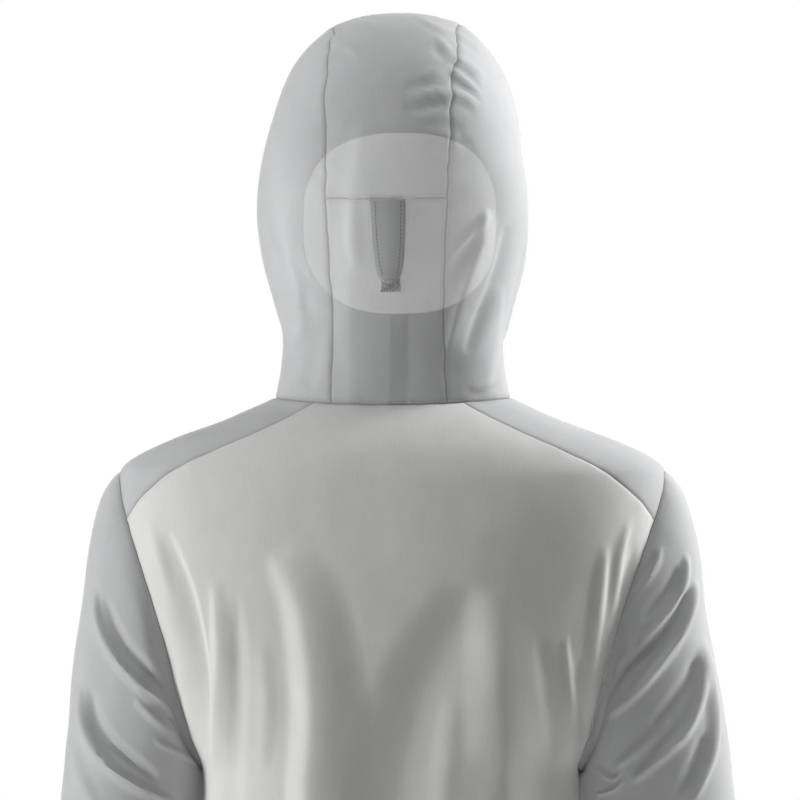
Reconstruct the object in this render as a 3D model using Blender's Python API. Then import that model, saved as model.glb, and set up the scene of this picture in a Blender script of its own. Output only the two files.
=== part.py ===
"""Hooded shell jacket with its hood up and its front zip closed, filled out as worn.

Metres, +Z up. The origin is the middle of the neck seam. The back of the jacket
faces +Y, the zipped front faces -Y, and the wearer's left side is +X.

The trunk and the hood are stacks of rings, and each sleeve is a fan of rings that
opens about the armpit. The panels are cut out of those surfaces along their seams,
share the points on each seam, and are then drawn back from it by half a seam gap.
"""

import math
from types import SimpleNamespace

import bpy
from mathutils import Matrix, Vector

# ---- Driving sizes ------------------------------------------------------------

WALL = 0.0018
SEAM_GAP = 0.0003

HEM_LEVEL = -0.72
PIT_LEVEL = -0.315
TIP_LEVEL = -0.059
NECK_LEVEL = 0.004
SIDE = math.radians(90)

# The armhole swings back and forward from the side line of the trunk.
ARMHOLE_BACK_SWING = math.radians(31)
ARMHOLE_FRONT_SWING = math.radians(35)
ARMHOLE_ROUNDING = 0.5
YOKE_CORNER = 0.738

YOKE_NECK_HALF = 0.063
YOKE_FRONT_NECK_HALF = 0.055
HOOD_SPLIT = 0.40

ZIP_OPENING_HALF = 0.0080
ZIP_CHAIN_HALF = 0.0022
ZIP_TAPE_WALL = 0.0012
ZIP_CHAIN_PROUD = 0.0006
ZIP_CHAIN_WALL = 0.0024
ZIP_BOX_LENGTH = 0.012
ZIP_BOX_PROUD = 0.0012
ZIP_BOX_WALL = 0.0036

# ---- Number of steps along each seam, shared by the panels on both sides --------

SIDE_STEPS = 14
ARMHOLE_STEPS = 9
YOKE_ARMHOLE_STEPS = 10
YOKE_SEAM_STEPS = 8
FRONT_NECK_STEPS = 5
HOOD_LOWER_STEPS = 8
HOOD_UPPER_STEPS = 11
SLEEVE_STEPS = 17

# ---- Ring tables ----------------------------------------------------------------
# half_width is the reach to each side. outer is the end at the back, or over the
# crown, and inner is the end at the front zip. squareness is the power of the
# oval. dip is the power with which a ring leaves the height of its side point.

RING_COLUMNS = (
    "place", "half_width", "side_y", "side_z", "outer_y", "outer_z", "inner_y", "inner_z",
    "squareness", "dip",
)

NECK_RING = (0.102, -0.010, 0.004, 0.060, -0.002, -0.086, -0.055, 2.20, 2.0)

TRUNK_RINGS = (
    (-0.720, 0.186, -0.002, -0.720, 0.118, -0.720, -0.124, -0.720, 2.40, 2.0),
    (-0.550, 0.178, -0.002, -0.550, 0.119, -0.550, -0.127, -0.550, 2.40, 2.0),
    (-0.420, 0.1690, -0.002, -0.420, 0.124, -0.420, -0.131, -0.420, 2.40, 2.0),
    (-0.360, 0.1645, -0.002, -0.360, 0.127, -0.360, -0.133, -0.360, 2.40, 2.0),
    (-0.315, 0.1640, -0.002, -0.315, 0.129, -0.315, -0.134, -0.315, 2.40, 2.0),
    (-0.285, 0.1790, -0.002, -0.285, 0.130, -0.286, -0.134, -0.288, 2.40, 2.0),
    (-0.240, 0.201, -0.002, -0.240, 0.130, -0.243, -0.133, -0.250, 2.35, 2.0),
    (-0.170, 0.226, -0.003, -0.170, 0.126, -0.175, -0.130, -0.192, 2.30, 2.0),
    (-0.100, 0.237, -0.004, -0.100, 0.117, -0.105, -0.124, -0.137, 2.30, 2.0),
    (-0.059, 0.2355, -0.005, -0.059, 0.107, -0.064, -0.116, -0.104, 2.25, 2.0),
    (-0.047, 0.2225, -0.006, -0.047, 0.102, -0.052, -0.112, -0.094, 2.22, 2.0),
    (-0.033, 0.193, -0.007, -0.033, 0.095, -0.039, -0.107, -0.083, 2.20, 2.0),
    (-0.0156, 0.146, -0.009, -0.0156, 0.080, -0.0205, -0.098, -0.069, 2.20, 2.0),
    (NECK_LEVEL,) + NECK_RING,
)

HOOD_RINGS = (
    (0.00,) + NECK_RING,
    (0.08, 0.0970, -0.012, 0.032, 0.061, 0.030, -0.091, -0.040, 2.20, 1.8),
    (0.18, 0.0965, -0.014, 0.060, 0.071, 0.078, -0.097, -0.022, 2.20, 1.5),
    (0.29, 0.1050, -0.012, 0.095, 0.090, 0.126, -0.103, -0.002, 2.25, 1.2),
    (0.40, 0.1110, -0.006, 0.122, 0.1035, 0.176, -0.108, 0.016, 2.25, 1.1),
    (0.50, 0.1170, -0.006, 0.150, 0.103, 0.228, -0.1115, 0.032, 2.25, 1.0),
    (0.60, 0.1170, -0.018, 0.172, 0.083, 0.280, -0.114, 0.045, 2.25, 1.0),
    (0.70, 0.1120, -0.040, 0.192, 0.040, 0.322, -0.116, 0.056, 2.30, 1.0),
    (0.80, 0.1105, -0.066, 0.202, -0.014, 0.3375, -0.1175, 0.065, 2.40, 1.0),
    (0.90, 0.1050, -0.092, 0.195, -0.068, 0.315, -0.1190, 0.072, 2.40, 1.0),
    (1.00, 0.0880, -0.120, 0.161, -0.120, 0.243, -0.1205, 0.079, 2.60, 1.0),
)

# outer is the silhouette line down from the shoulder, inner the line under the arm.
SLEEVE_COLUMNS = (
    "place", "outer_x", "outer_z", "inner_x", "inner_z", "middle_y", "half_depth", "squareness",
)
SLEEVE_RINGS = (
    (0.00, 0.2355, -0.059, 0.1640, -0.315, -0.002, 0.062, 2.0),
    (0.025, 0.2450, -0.0685, 0.1646, -0.3165, -0.002, 0.064, 2.0),
    (0.06, 0.2545, -0.087, 0.1652, -0.3195, -0.003, 0.067, 2.0),
    (0.13, 0.2640, -0.128, 0.1658, -0.325, -0.004, 0.070, 2.1),
    (0.21, 0.2705, -0.178, 0.1664, -0.332, -0.006, 0.072, 2.1),
    (0.29, 0.2785, -0.230, 0.1672, -0.343, -0.008, 0.072, 2.1),
    (0.37, 0.2830, -0.282, 0.1692, -0.361, -0.010, 0.070, 2.1),
    (0.46, 0.2895, -0.342, 0.1750, -0.392, -0.013, 0.068, 2.1),
    (0.56, 0.2970, -0.412, 0.1870, -0.440, -0.018, 0.064, 2.1),
    (0.68, 0.3090, -0.492, 0.2060, -0.506, -0.025, 0.058, 2.1),
    (0.80, 0.3200, -0.572, 0.2250, -0.578, -0.033, 0.051, 2.1),
    (0.91, 0.3280, -0.640, 0.2430, -0.643, -0.041, 0.044, 2.1),
    (1.00, 0.3330, -0.685, 0.2560, -0.688, -0.046, 0.039, 2.1),
)
# The right arm hangs wider: how far its outer and inner lines lie further out.
RIGHT_ARM_PLACES = (0.0, 0.13, 0.21, 0.29, 0.37, 0.46, 0.60, 1.0)
RIGHT_ARM_OUTER = (0.0, 0.002, 0.001, 0.002, 0.007, 0.007, 0.008, 0.009)
RIGHT_ARM_INNER = (0.0, 0.0, 0.0, 0.0, 0.0, 0.001, 0.007, 0.011)

# Over this share of the sleeve the armhole's own shape turns into plain rings.
SLEEVE_BLEND = 0.40

# Seams as seen square on: x across from the middle, z up.
YOKE_BACK_SEAM = ((0.097, -0.018), (0.137, -0.036), (0.170, -0.051), (0.198, -0.069))
YOKE_FRONT_SEAM = ((0.095, -0.0545), (0.157, -0.0700), (0.203, -0.0875))

# The level of a seam point is found in this many turns, each by this share of the miss.
SEAM_SEARCH_TURNS = 60
SEAM_SEARCH_STEP = 0.7

# From this place up the columns of the hood's sides are evenly spaced.
HOOD_EVEN_PLACE = 0.25

# Above this height the hood leans towards the wearer's right, by this much at its top.
HOOD_LEAN_START = 0.12
HOOD_LEAN_END = 0.336
HOOD_LEAN = 0.0045

# Half width of the hood's centre strip along its length.
HOOD_STRIP_PLACES = (0.0, 0.20, 0.40, 0.70, 1.0)
HOOD_STRIP_HALVES = (0.0495, 0.0475, 0.0515, 0.0540, 0.0500)

# Columns of the centre strip, as shares of its half width. The tab ends on the second.
HOOD_STRIP_SHARES = (-1.0, -0.667, -0.333, -0.172, 0.0, 0.172, 0.333, 0.667, 1.0)

# Where the cloth on both sides of a seam turns sharply, its shared direction meets a
# panel's own one with a cosine under the start, and the wall leans to the panel's own.
WALL_LEAN_START = 0.75
WALL_LEAN_SPAN = 0.5
WALL_LEAN = 2

# ---- Largest folds ----------------------------------------------------------------
# Three points of the crease line as seen from behind, its reach to each side, and
# its height: positive stands out, negative dips in. facing is 1 for the back, -1 for
# the front.

# A fold fades where the cloth turns to the side.
FOLD_TURN = 1.6
FOLD_CUT = 0.5

FOLD_COLUMNS = ("region", "facing", "line", "reach", "height")
FOLDS = (
    ("trunk", 1, ((0.107, -0.150), (0.086, -0.240), (0.102, -0.345)), 0.030, 0.0070),
    ("trunk", 1, ((0.155, -0.175), (0.154, -0.260), (0.160, -0.330)), 0.018, 0.0060),
    ("trunk", 1, ((0.190, -0.125), (0.170, -0.210), (0.150, -0.250)), 0.018, -0.0060),
    ("trunk", 1, ((-0.061, -0.165), (-0.020, -0.225), (0.030, -0.330)), 0.030, -0.0080),
    ("trunk", 1, ((-0.100, -0.215), (-0.100, -0.270), (-0.116, -0.350)), 0.020, -0.0080),
    ("trunk", 1, ((-0.151, -0.210), (-0.153, -0.270), (-0.155, -0.330)), 0.020, 0.0070),
    ("trunk", 1, ((-0.046, -0.240), (-0.050, -0.290), (-0.050, -0.350)), 0.018, 0.0050),
    ("trunk", 1, ((0.060, -0.400), (0.075, -0.520), (0.070, -0.690)), 0.035, 0.0070),
    ("trunk", 1, ((-0.075, -0.380), (-0.090, -0.520), (-0.080, -0.680)), 0.035, -0.0070),
    ("trunk", -1, ((0.120, -0.190), (0.098, -0.280), (0.110, -0.400)), 0.032, 0.0070),
    ("trunk", -1, ((-0.115, -0.180), (-0.095, -0.290), (-0.120, -0.390)), 0.030, 0.0060),
    ("trunk", -1, ((0.075, -0.430), (0.085, -0.540), (0.070, -0.680)), 0.034, -0.0070),
    ("trunk", -1, ((-0.080, -0.400), (-0.095, -0.530), (-0.085, -0.670)), 0.034, -0.0060),
    ("sleeve", 1, ((0.256, -0.165), (0.225, -0.235), (0.170, -0.305)), 0.020, -0.0060),
    ("sleeve", 1, ((0.262, -0.240), (0.245, -0.300), (0.205, -0.340)), 0.020, -0.0055),
    ("sleeve", 1, ((0.290, -0.430), (0.260, -0.465), (0.220, -0.480)), 0.026, -0.0060),
    ("sleeve", 1, ((-0.258, -0.150), (-0.218, -0.230), (-0.178, -0.260)), 0.018, 0.0060),
    ("sleeve", 1, ((-0.266, -0.190), (-0.250, -0.255), (-0.205, -0.330)), 0.018, 0.0060),
    ("sleeve", 1, ((-0.295, -0.420), (-0.262, -0.450), (-0.222, -0.490)), 0.026, -0.0060),
    ("sleeve", -1, ((0.262, -0.180), (0.235, -0.240), (0.185, -0.300)), 0.022, -0.0060),
    ("sleeve", -1, ((-0.262, -0.190), (-0.232, -0.250), (-0.185, -0.300)), 0.022, -0.0060),
    ("hood", 1, ((-0.092, 0.165), (-0.083, 0.110), (-0.050, 0.045)), 0.018, 0.0050),
    ("hood", 1, ((-0.080, 0.140), (-0.062, 0.115), (-0.045, 0.095)), 0.014, -0.0050),
    ("hood", 1, ((0.078, 0.090), (0.086, 0.050), (0.092, 0.010)), 0.018, 0.0040),
)

# ---- Tab and its fastener on the hood ---------------------------------------------

TAB_WALL = 0.0016
TAB_STEPS_A_ROW = 3
TAB_ROWS = 8
# Half width of the tab over its length, in columns of the centre strip.
TAB_HALF_COLUMNS = (1.95, 1.95, 1.90, 1.85, 1.75, 1.65, 1.55, 1.45, 1.15)
TAB_LIFT = 0.0022
FASTENER_WALL = 0.0012
FASTENER_FIRST_ROW = 5
FASTENER_ROWS = 4
FASTENER_HALF_COLUMNS = 1.20

# ---- Zip slider and its pull --------------------------------------------------------
# Splits of each axis of the slider's own frame: across, out of the cloth, up the zip.

SLIDER_BELOW_TOP = 0.014
SLIDER_ACROSS = (-0.0045, -0.0018, -0.0010, 0.0010, 0.0018, 0.0045)
SLIDER_OUT = (-0.0033, -0.0021, 0.0009, 0.0021, 0.0045, 0.0055)
SLIDER_UP = (-0.0060, -0.0030, -0.0020, 0.0010, 0.0020, 0.0032, 0.0060)
PULL_PIVOT_OUT = 0.0033
PULL_PIVOT_UP = -0.0007
PULL_ACROSS = (-0.0030, -0.0026, -0.0014, 0.0014, 0.0026, 0.0030)
PULL_HALF_THICK = 0.0006
PULL_UP = (-0.0260, -0.0040, -0.0006, 0.0006)

# ---- Colours ------------------------------------------------------------------------

WARM_CLOTH = (0.60, 0.60, 0.585)
COOL_CLOTH = (0.56, 0.57, 0.585)
TRIM_GREY = (0.42, 0.42, 0.43)
METAL = (0.50, 0.50, 0.52)


# ---- Reading the tables ---------------------------------------------------------------

def slope(places, values, index):
    """Slope of a table's curve at one of its rows."""
    low = max(index - 1, 0)
    high = min(index + 1, len(places) - 1)
    return (values[high] - values[low]) / (places[high] - places[low])


def curve_value(places, values, place):
    """Smooth value at a place between the rows of a table."""
    index = 0
    while index < len(places) - 2 and place > places[index + 1]:
        index += 1
    span = places[index + 1] - places[index]
    t = (place - places[index]) / span
    rise_in = slope(places, values, index) * span
    rise_out = slope(places, values, index + 1) * span
    start_share = 2 * t ** 3 - 3 * t ** 2 + 1
    return (
        start_share * values[index]
        + (1 - start_share) * values[index + 1]
        + (t ** 3 - 2 * t ** 2 + t) * rise_in
        + (t ** 3 - t ** 2) * rise_out
    )


def read_ring(columns, rows, place):
    """Ring at a place between the rows of a ring table, by column name."""
    places = [row[0] for row in rows]
    values = {
        name: curve_value(places, [row[index] for row in rows], place)
        for index, name in enumerate(columns)
    }
    return SimpleNamespace(**values)


def oval(angle, power):
    """Reach along and across of a unit oval at an angle from its outer end."""
    along, across = math.cos(angle), math.sin(angle)
    size = (abs(along) ** power + abs(across) ** power) ** (-1 / power)
    return along * size, across * size


def ring_point(ring, angle):
    """Point of a ring: angle 0 is its outer end, 90 degrees +X, 180 its inner end."""
    along, across = oval(angle, ring.squareness)
    end_y = ring.outer_y if along >= 0 else ring.inner_y
    end_z = ring.outer_z if along >= 0 else ring.inner_z
    reach = abs(along)
    return Vector((
        ring.half_width * across,
        ring.side_y + (end_y - ring.side_y) * reach,
        ring.side_z + (end_z - ring.side_z) * reach ** ring.dip,
    ))


def ring_angle(ring, x):
    """Angle from its outer end at which a ring has the width x."""
    across = x / ring.half_width
    along = (1 - abs(across) ** ring.squareness) ** (1 / ring.squareness)
    return math.atan2(across, along)


def trunk_ring(level):
    return read_ring(RING_COLUMNS, TRUNK_RINGS, level)


def hood_ring(place):
    return read_ring(RING_COLUMNS, HOOD_RINGS, place)


def trunk_point(spot):
    """Point of the trunk at a spot, which is its angle and level."""
    return ring_point(trunk_ring(spot[1]), spot[0])


def steps(start, end, count):
    """Evenly spaced values, both ends included."""
    return [start + (end - start) * index / count for index in range(count + 1)]


# ---- Seam lines on the trunk, as lists of (angle, level) --------------------------------

def armhole_spot(share, swing):
    """Spot on the armhole: share 0 is the armpit, 1 the tip of the shoulder."""
    height = (1 - math.cos(math.pi * share)) / 2
    level = PIT_LEVEL + (TIP_LEVEL - PIT_LEVEL) * height
    bow = max(math.sin(math.pi * height), 0.0) ** ARMHOLE_ROUNDING
    return (SIDE + swing * bow, level)


def back_armhole(start, end, count):
    return [armhole_spot(share, -ARMHOLE_BACK_SWING) for share in steps(start, end, count)]


def front_armhole(start, end, count):
    return [armhole_spot(share, ARMHOLE_FRONT_SWING) for share in steps(start, end, count)]


def spot_seen_at(x, z, front):
    """Spot of the trunk that is seen square on at x and z."""
    level = z
    for _ in range(SEAM_SEARCH_TURNS):
        angle = ring_angle(trunk_ring(level), x)
        angle = math.pi - angle if front else angle
        level += SEAM_SEARCH_STEP * (z - trunk_point((angle, level)).z)
        level = min(max(level, HEM_LEVEL), NECK_LEVEL)
    return (angle, level)


def smooth_path(spots, count):
    """Even steps along the smooth line through a few spots."""
    lengths = [0.0]
    for first, second in zip(spots, spots[1:]):
        lengths.append(lengths[-1] + (trunk_point(second) - trunk_point(first)).length)
    return [
        tuple(curve_value(lengths, [spot[axis] for spot in spots], place) for axis in (0, 1))
        for place in steps(0.0, lengths[-1], count)
    ]


def neck_angle(x, front=False):
    angle = ring_angle(trunk_ring(NECK_LEVEL), x)
    return math.pi - angle if front else angle


def yoke_back_seam():
    """Seam of the left yoke and the back, from the armhole up to the neck."""
    seen = [spot_seen_at(x, z, False) for x, z in reversed(YOKE_BACK_SEAM)]
    armhole_end = armhole_spot(YOKE_CORNER, -ARMHOLE_BACK_SWING)
    neck_end = (neck_angle(YOKE_NECK_HALF), NECK_LEVEL)
    return smooth_path([armhole_end] + seen + [neck_end], YOKE_SEAM_STEPS)


def yoke_front_seam():
    """Seam of the left yoke and the left front, from the armhole up to the neck."""
    seen = [spot_seen_at(x, z, True) for x, z in reversed(YOKE_FRONT_SEAM)]
    armhole_end = armhole_spot(YOKE_CORNER, ARMHOLE_FRONT_SWING)
    neck_end = (neck_angle(YOKE_FRONT_NECK_HALF, True), NECK_LEVEL)
    return smooth_path([armhole_end] + seen + [neck_end], YOKE_SEAM_STEPS)


def zip_spot(level):
    """Spot on the trunk at the left edge of the zip opening."""
    return (math.pi - ring_angle(trunk_ring(level), ZIP_OPENING_HALF), level)


def zip_levels():
    """Levels of the rows along the front edge of the trunk."""
    return steps(HEM_LEVEL, PIT_LEVEL, SIDE_STEPS)[:-1] + steps(PIT_LEVEL, NECK_LEVEL, ARMHOLE_STEPS)


def neck_back_angles():
    """Angles along the back neck, from the right yoke seam to the left one."""
    strip = [neck_angle(share * HOOD_STRIP_HALVES[0]) for share in HOOD_STRIP_SHARES]
    yoke = neck_angle(YOKE_NECK_HALF)
    return [-yoke] + strip + [yoke]


def neck_yoke_angles():
    return steps(neck_angle(YOKE_NECK_HALF), neck_angle(YOKE_FRONT_NECK_HALF, True), YOKE_ARMHOLE_STEPS)


def neck_front_angles():
    return steps(neck_angle(YOKE_FRONT_NECK_HALF, True), zip_spot(NECK_LEVEL)[0], FRONT_NECK_STEPS)


# ---- Panels ------------------------------------------------------------------------------

def fill_patch(bottom, top, left, right, level_rows=0):
    """Rows of spots inside four edges; bottom and top run left to right, the others up.

    The first level_rows rows keep the shape of the bottom edge.
    """
    columns, rows = len(bottom) - 1, len(left) - 1
    grid = []
    for j in range(rows + 1):
        up = max(j - level_rows, 0) / (rows - level_rows)
        ends = left[j], right[j]
        grid.append([patch_spot(bottom, top, ends, i, i / columns, up) for i in range(columns + 1)])
        grid[j][0], grid[j][-1] = ends
    grid[0], grid[-1] = list(bottom), list(top)
    return grid


def patch_spot(bottom, top, ends, i, across, up):
    """One spot of a row between its two ends, bent like the bottom and top edges."""
    return tuple(
        (1 - across) * ends[0][axis] + across * ends[1][axis]
        + (1 - up) * (bottom[i][axis] - (1 - across) * bottom[0][axis] - across * bottom[-1][axis])
        + up * (top[i][axis] - (1 - across) * top[0][axis] - across * top[-1][axis])
        for axis in (0, 1)
    )


def mirrored(spots):
    return [(-angle, level) for angle, level in spots]


def make_panel(name, rows, region, colour, closed=False):
    """A panel: rows of points, with the outside where up x right points."""
    return SimpleNamespace(name=name, rows=rows, regions={region}, colour=colour, closed=closed)


def mirror_panel(panel, name):
    """The same panel on the other side, with its columns turned round."""
    rows = [[Vector((-p.x, p.y, p.z)) for p in reversed(row)] for row in panel.rows]
    return SimpleNamespace(
        name=name, rows=rows, regions=set(panel.regions), colour=panel.colour, closed=panel.closed,
    )


def side_edge(armhole_part, count):
    """Side seam from the hem to the armpit, then the armhole up to the yoke."""
    seam = [(SIDE, level) for level in steps(HEM_LEVEL, PIT_LEVEL, count)]
    return seam[:-1] + armhole_part


def back_panel():
    seam = yoke_back_seam()
    neck = [(angle, NECK_LEVEL) for angle in neck_back_angles()]
    top = mirrored(seam)[:-1] + neck + list(reversed(seam))[1:]
    bottom = [(angle, HEM_LEVEL) for angle in steps(-SIDE, SIDE, len(top) - 1)]
    left = side_edge(back_armhole(0.0, YOKE_CORNER, ARMHOLE_STEPS), SIDE_STEPS)
    grid = fill_patch(bottom, top, mirrored(left), left, SIDE_STEPS)
    rows = [[trunk_point(spot) for spot in line] for line in grid]
    return make_panel("back", rows, "trunk", WARM_CLOTH)


def front_left_panel():
    top = yoke_front_seam()[:-1] + [(angle, NECK_LEVEL) for angle in neck_front_angles()]
    outer = side_edge(front_armhole(0.0, YOKE_CORNER, ARMHOLE_STEPS), SIDE_STEPS)
    inner = [zip_spot(level) for level in zip_levels()]
    under_yoke = steps(SIDE, neck_angle(YOKE_FRONT_NECK_HALF, True), YOKE_SEAM_STEPS)
    under_neck = steps(under_yoke[-1], inner[0][0], FRONT_NECK_STEPS)
    bottom = [(angle, HEM_LEVEL) for angle in under_yoke[:-1] + under_neck]
    grid = fill_patch(bottom, top, outer, inner, SIDE_STEPS)
    rows = [[trunk_point(spot) for spot in line] for line in grid]
    return make_panel("front_left", rows, "trunk", WARM_CLOTH)


def yoke_left_panel():
    half = YOKE_ARMHOLE_STEPS // 2
    over_back = back_armhole(YOKE_CORNER, 1.0, half)
    over_front = list(reversed(front_armhole(YOKE_CORNER, 1.0, half)))
    bottom = over_back[:-1] + over_front
    top = [(angle, NECK_LEVEL) for angle in neck_yoke_angles()]
    grid = fill_patch(bottom, top, yoke_back_seam(), yoke_front_seam())
    rows = [[trunk_point(spot) for spot in line] for line in grid]
    return make_panel("yoke_left", rows, "trunk", COOL_CLOTH)


def armhole_loop():
    """Points of the left armhole: armpit, up the front, shoulder tip, down the back."""
    half = YOKE_ARMHOLE_STEPS // 2
    front = front_armhole(0.0, YOKE_CORNER, ARMHOLE_STEPS)[:-1] + front_armhole(YOKE_CORNER, 1.0, half)
    back = back_armhole(0.0, YOKE_CORNER, ARMHOLE_STEPS)[:-1] + back_armhole(YOKE_CORNER, 1.0, half)
    spots = front + list(reversed(back))[1:-1]
    return [trunk_point(spot) for spot in spots]


def sleeve_point(place, turn, right_arm):
    """Point of a plain sleeve ring, on the left: turn 0 is under the arm, a quarter the front."""
    ring = read_ring(SLEEVE_COLUMNS, SLEEVE_RINGS, place)
    if right_arm:
        ring.outer_x += curve_value(RIGHT_ARM_PLACES, RIGHT_ARM_OUTER, place)
        ring.inner_x += curve_value(RIGHT_ARM_PLACES, RIGHT_ARM_INNER, place)
    along, across = oval(2 * math.pi * turn, ring.squareness)
    share = (1 - along) / 2
    return Vector((
        ring.inner_x + (ring.outer_x - ring.inner_x) * share,
        ring.middle_y - ring.half_depth * across,
        ring.inner_z + (ring.outer_z - ring.inner_z) * share,
    ))


def sleeve_panel(name, right_arm):
    """A sleeve on the left side; the right one is turned over afterwards."""
    loop = armhole_loop()
    turns = [index / len(loop) for index in range(len(loop))]
    rows = []
    for place in steps(0.0, 1.0, SLEEVE_STEPS):
        left = max(1 - place / SLEEVE_BLEND, 0.0)
        keep = left * left * (3 - 2 * left)
        rows.append([
            sleeve_point(place, turn, right_arm) + keep * (point - sleeve_point(0.0, turn, right_arm))
            for turn, point in zip(turns, loop)
        ])
    return make_panel(name, rows, "sleeve", COOL_CLOTH, closed=True)


def hood_places():
    lower = steps(0.0, HOOD_SPLIT, HOOD_LOWER_STEPS)
    return lower + steps(HOOD_SPLIT, 1.0, HOOD_UPPER_STEPS)[1:]


def hood_strip_half(place):
    return curve_value(HOOD_STRIP_PLACES, HOOD_STRIP_HALVES, place)


def hood_centre_panels():
    rows = []
    for place in hood_places():
        ring = hood_ring(place)
        half = hood_strip_half(place)
        rows.append([ring_point(ring, ring_angle(ring, share * half)) for share in HOOD_STRIP_SHARES])
    lower = rows[:HOOD_LOWER_STEPS + 1]
    upper = [[point.copy() for point in row] for row in rows[HOOD_LOWER_STEPS:]]
    return (
        make_panel("hood_centre_lower", lower, "hood", COOL_CLOTH),
        make_panel("hood_centre_upper", upper, "hood", COOL_CLOTH),
    )


def hood_side_left_panel():
    neck = [neck_back_angles()[-2]] + neck_yoke_angles() + neck_front_angles()[1:]
    count = len(neck) - 1
    neck_shares = [(angle - neck[0]) / (neck[-1] - neck[0]) for angle in neck]
    rows = []
    for place in hood_places():
        ring = hood_ring(place)
        start = ring_angle(ring, hood_strip_half(place))
        end = math.pi - ring_angle(ring, ZIP_OPENING_HALF)
        even = min(place / HOOD_EVEN_PLACE, 1.0)
        shares = [(1 - even) * s + even * i / count for i, s in enumerate(neck_shares)]
        rows.append([ring_point(ring, start + (end - start) * share) for share in shares])
    return make_panel("hood_side_left", rows, "hood", COOL_CLOTH)


def strip_points(half_low, half_high):
    """Rows of two points on the left of the zip line, from the hem to the top."""
    rows = []
    for level in zip_levels():
        ring = trunk_ring(level)
        rows.append([ring_point(ring, math.pi - ring_angle(ring, x)) for x in (half_high, half_low)])
    for place in hood_places()[1:]:
        ring = hood_ring(place)
        rows.append([ring_point(ring, math.pi - ring_angle(ring, x)) for x in (half_high, half_low)])
    return rows


# ---- Normals, folds and walls ----------------------------------------------------------------

def point_key(point):
    return tuple(round(value * 1e6) for value in point)


def grid_normals(rows, closed):
    """Summed face normals at each point of a panel, not yet of unit length."""
    count = len(rows[0])
    sums = [[Vector() for _ in row] for row in rows]
    for j in range(len(rows) - 1):
        for i in range(count if closed else count - 1):
            k = (i + 1) % count
            up = rows[j + 1][i] + rows[j + 1][k] - rows[j][i] - rows[j][k]
            right = rows[j][k] + rows[j + 1][k] - rows[j][i] - rows[j + 1][i]
            normal = up.cross(right)
            for row, column in ((j, i), (j, k), (j + 1, i), (j + 1, k)):
                sums[row][column] += normal
    return sums


def shared_normals(panels):
    """Unit normal at each point of the whole garment, with the regions it lies in."""
    table = {}
    for panel in panels:
        sums = grid_normals(panel.rows, panel.closed)
        for row, line in zip(panel.rows, sums):
            for point, normal in zip(row, line):
                entry = table.setdefault(point_key(point), [Vector(), set()])
                entry[0] += normal
                entry[1].update(panel.regions)
    return {key: (normal.normalized(), regions) for key, (normal, regions) in table.items()}


def distance_to_line(x, z, line):
    """Distance to a bent line, and how far along it, from 0 to 1, the nearest spot is."""
    best = (math.inf, 0.0)
    place = Vector((x, z))
    pieces = len(line) - 1
    for index in range(pieces):
        start, end = Vector(line[index]), Vector(line[index + 1])
        run = end - start
        share = min(max((place - start).dot(run) / run.length_squared, 0.0), 1.0)
        distance = (place - start - run * share).length
        best = min(best, (distance, (index + share) / pieces))
    return best


def fold_height(point, normal, regions):
    """How far the folds lift a point of the cloth along its normal."""
    total = 0.0
    for values in FOLDS:
        fold = SimpleNamespace(**dict(zip(FOLD_COLUMNS, values)))
        faces = min(max(FOLD_TURN * normal.y * fold.facing - FOLD_CUT, 0.0), 1.0)
        if fold.region not in regions or faces == 0.0:
            continue
        distance, along = distance_to_line(point.x, point.z, fold.line)
        if distance < fold.reach:
            across = (1 - (distance / fold.reach) ** 2) ** 2
            fade = math.sqrt(max(4 * along * (1 - along), 0.0))
            total += fold.height * across * fade * faces
    return total


def lean_hood(panels):
    """Lean the upper hood to the side; its shared points move alike."""
    for panel in panels:
        if "hood" not in panel.regions:
            continue
        for row in panel.rows:
            for point in row:
                height = (point.z - HOOD_LEAN_START) / (HOOD_LEAN_END - HOOD_LEAN_START)
                point.x -= HOOD_LEAN * max(height, 0.0) ** 2


def raise_folds(panels):
    """Move the points of every panel by the folds; shared points move alike."""
    normals = shared_normals(panels)
    for panel in panels:
        for row in panel.rows:
            for index, point in enumerate(row):
                normal, regions = normals[point_key(point)]
                row[index] = point + normal * fold_height(point, normal, regions)


def wall_directions(panel, normals):
    """Direction across the wall at each point, alike on both sides of a seam."""
    own = grid_normals(panel.rows, panel.closed)
    directions = []
    for row, line in zip(panel.rows, own):
        across = []
        for point, own_sum in zip(row, line):
            shared = normals[point_key(point)][0]
            plain = own_sum.normalized()
            lean = min(max((WALL_LEAN_START - shared.dot(plain)) / WALL_LEAN_SPAN, 0.0), 1.0)
            across.append((shared + WALL_LEAN * lean * plain).normalized())
        directions.append(across)
    return directions


def inward(point, before, after, inside, normal):
    """Unit vector from an edge into the panel, square to the edge."""
    side = normal.cross(after - before).normalized()
    return side if side.dot(inside - point) > 0 else -side


def draw_back_edges(panel, directions, gap):
    """Rows of the panel with every edge drawn back by a gap."""
    rows = panel.rows
    last_row, last_column = len(rows) - 1, len(rows[0]) - 1
    shifts = [[Vector() for _ in row] for row in rows]
    for i in range(last_column + 1):
        before = (i - 1) % (last_column + 1) if panel.closed else max(i - 1, 0)
        after = (i + 1) % (last_column + 1) if panel.closed else min(i + 1, last_column)
        for j, k in ((0, 1), (last_row, last_row - 1)):
            shifts[j][i] += inward(
                rows[j][i], rows[j][before], rows[j][after], rows[k][i], directions[j][i],
            )
    for j in range(last_row + 1):
        if panel.closed:
            break
        before, after = rows[max(j - 1, 0)], rows[min(j + 1, last_row)]
        for i, k in ((0, 1), (last_column, last_column - 1)):
            shifts[j][i] += inward(rows[j][i], before[i], after[i], rows[j][k], directions[j][i])
    return [
        [point + gap * shift for point, shift in zip(row, moves)]
        for row, moves in zip(rows, shifts)
    ]


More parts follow.
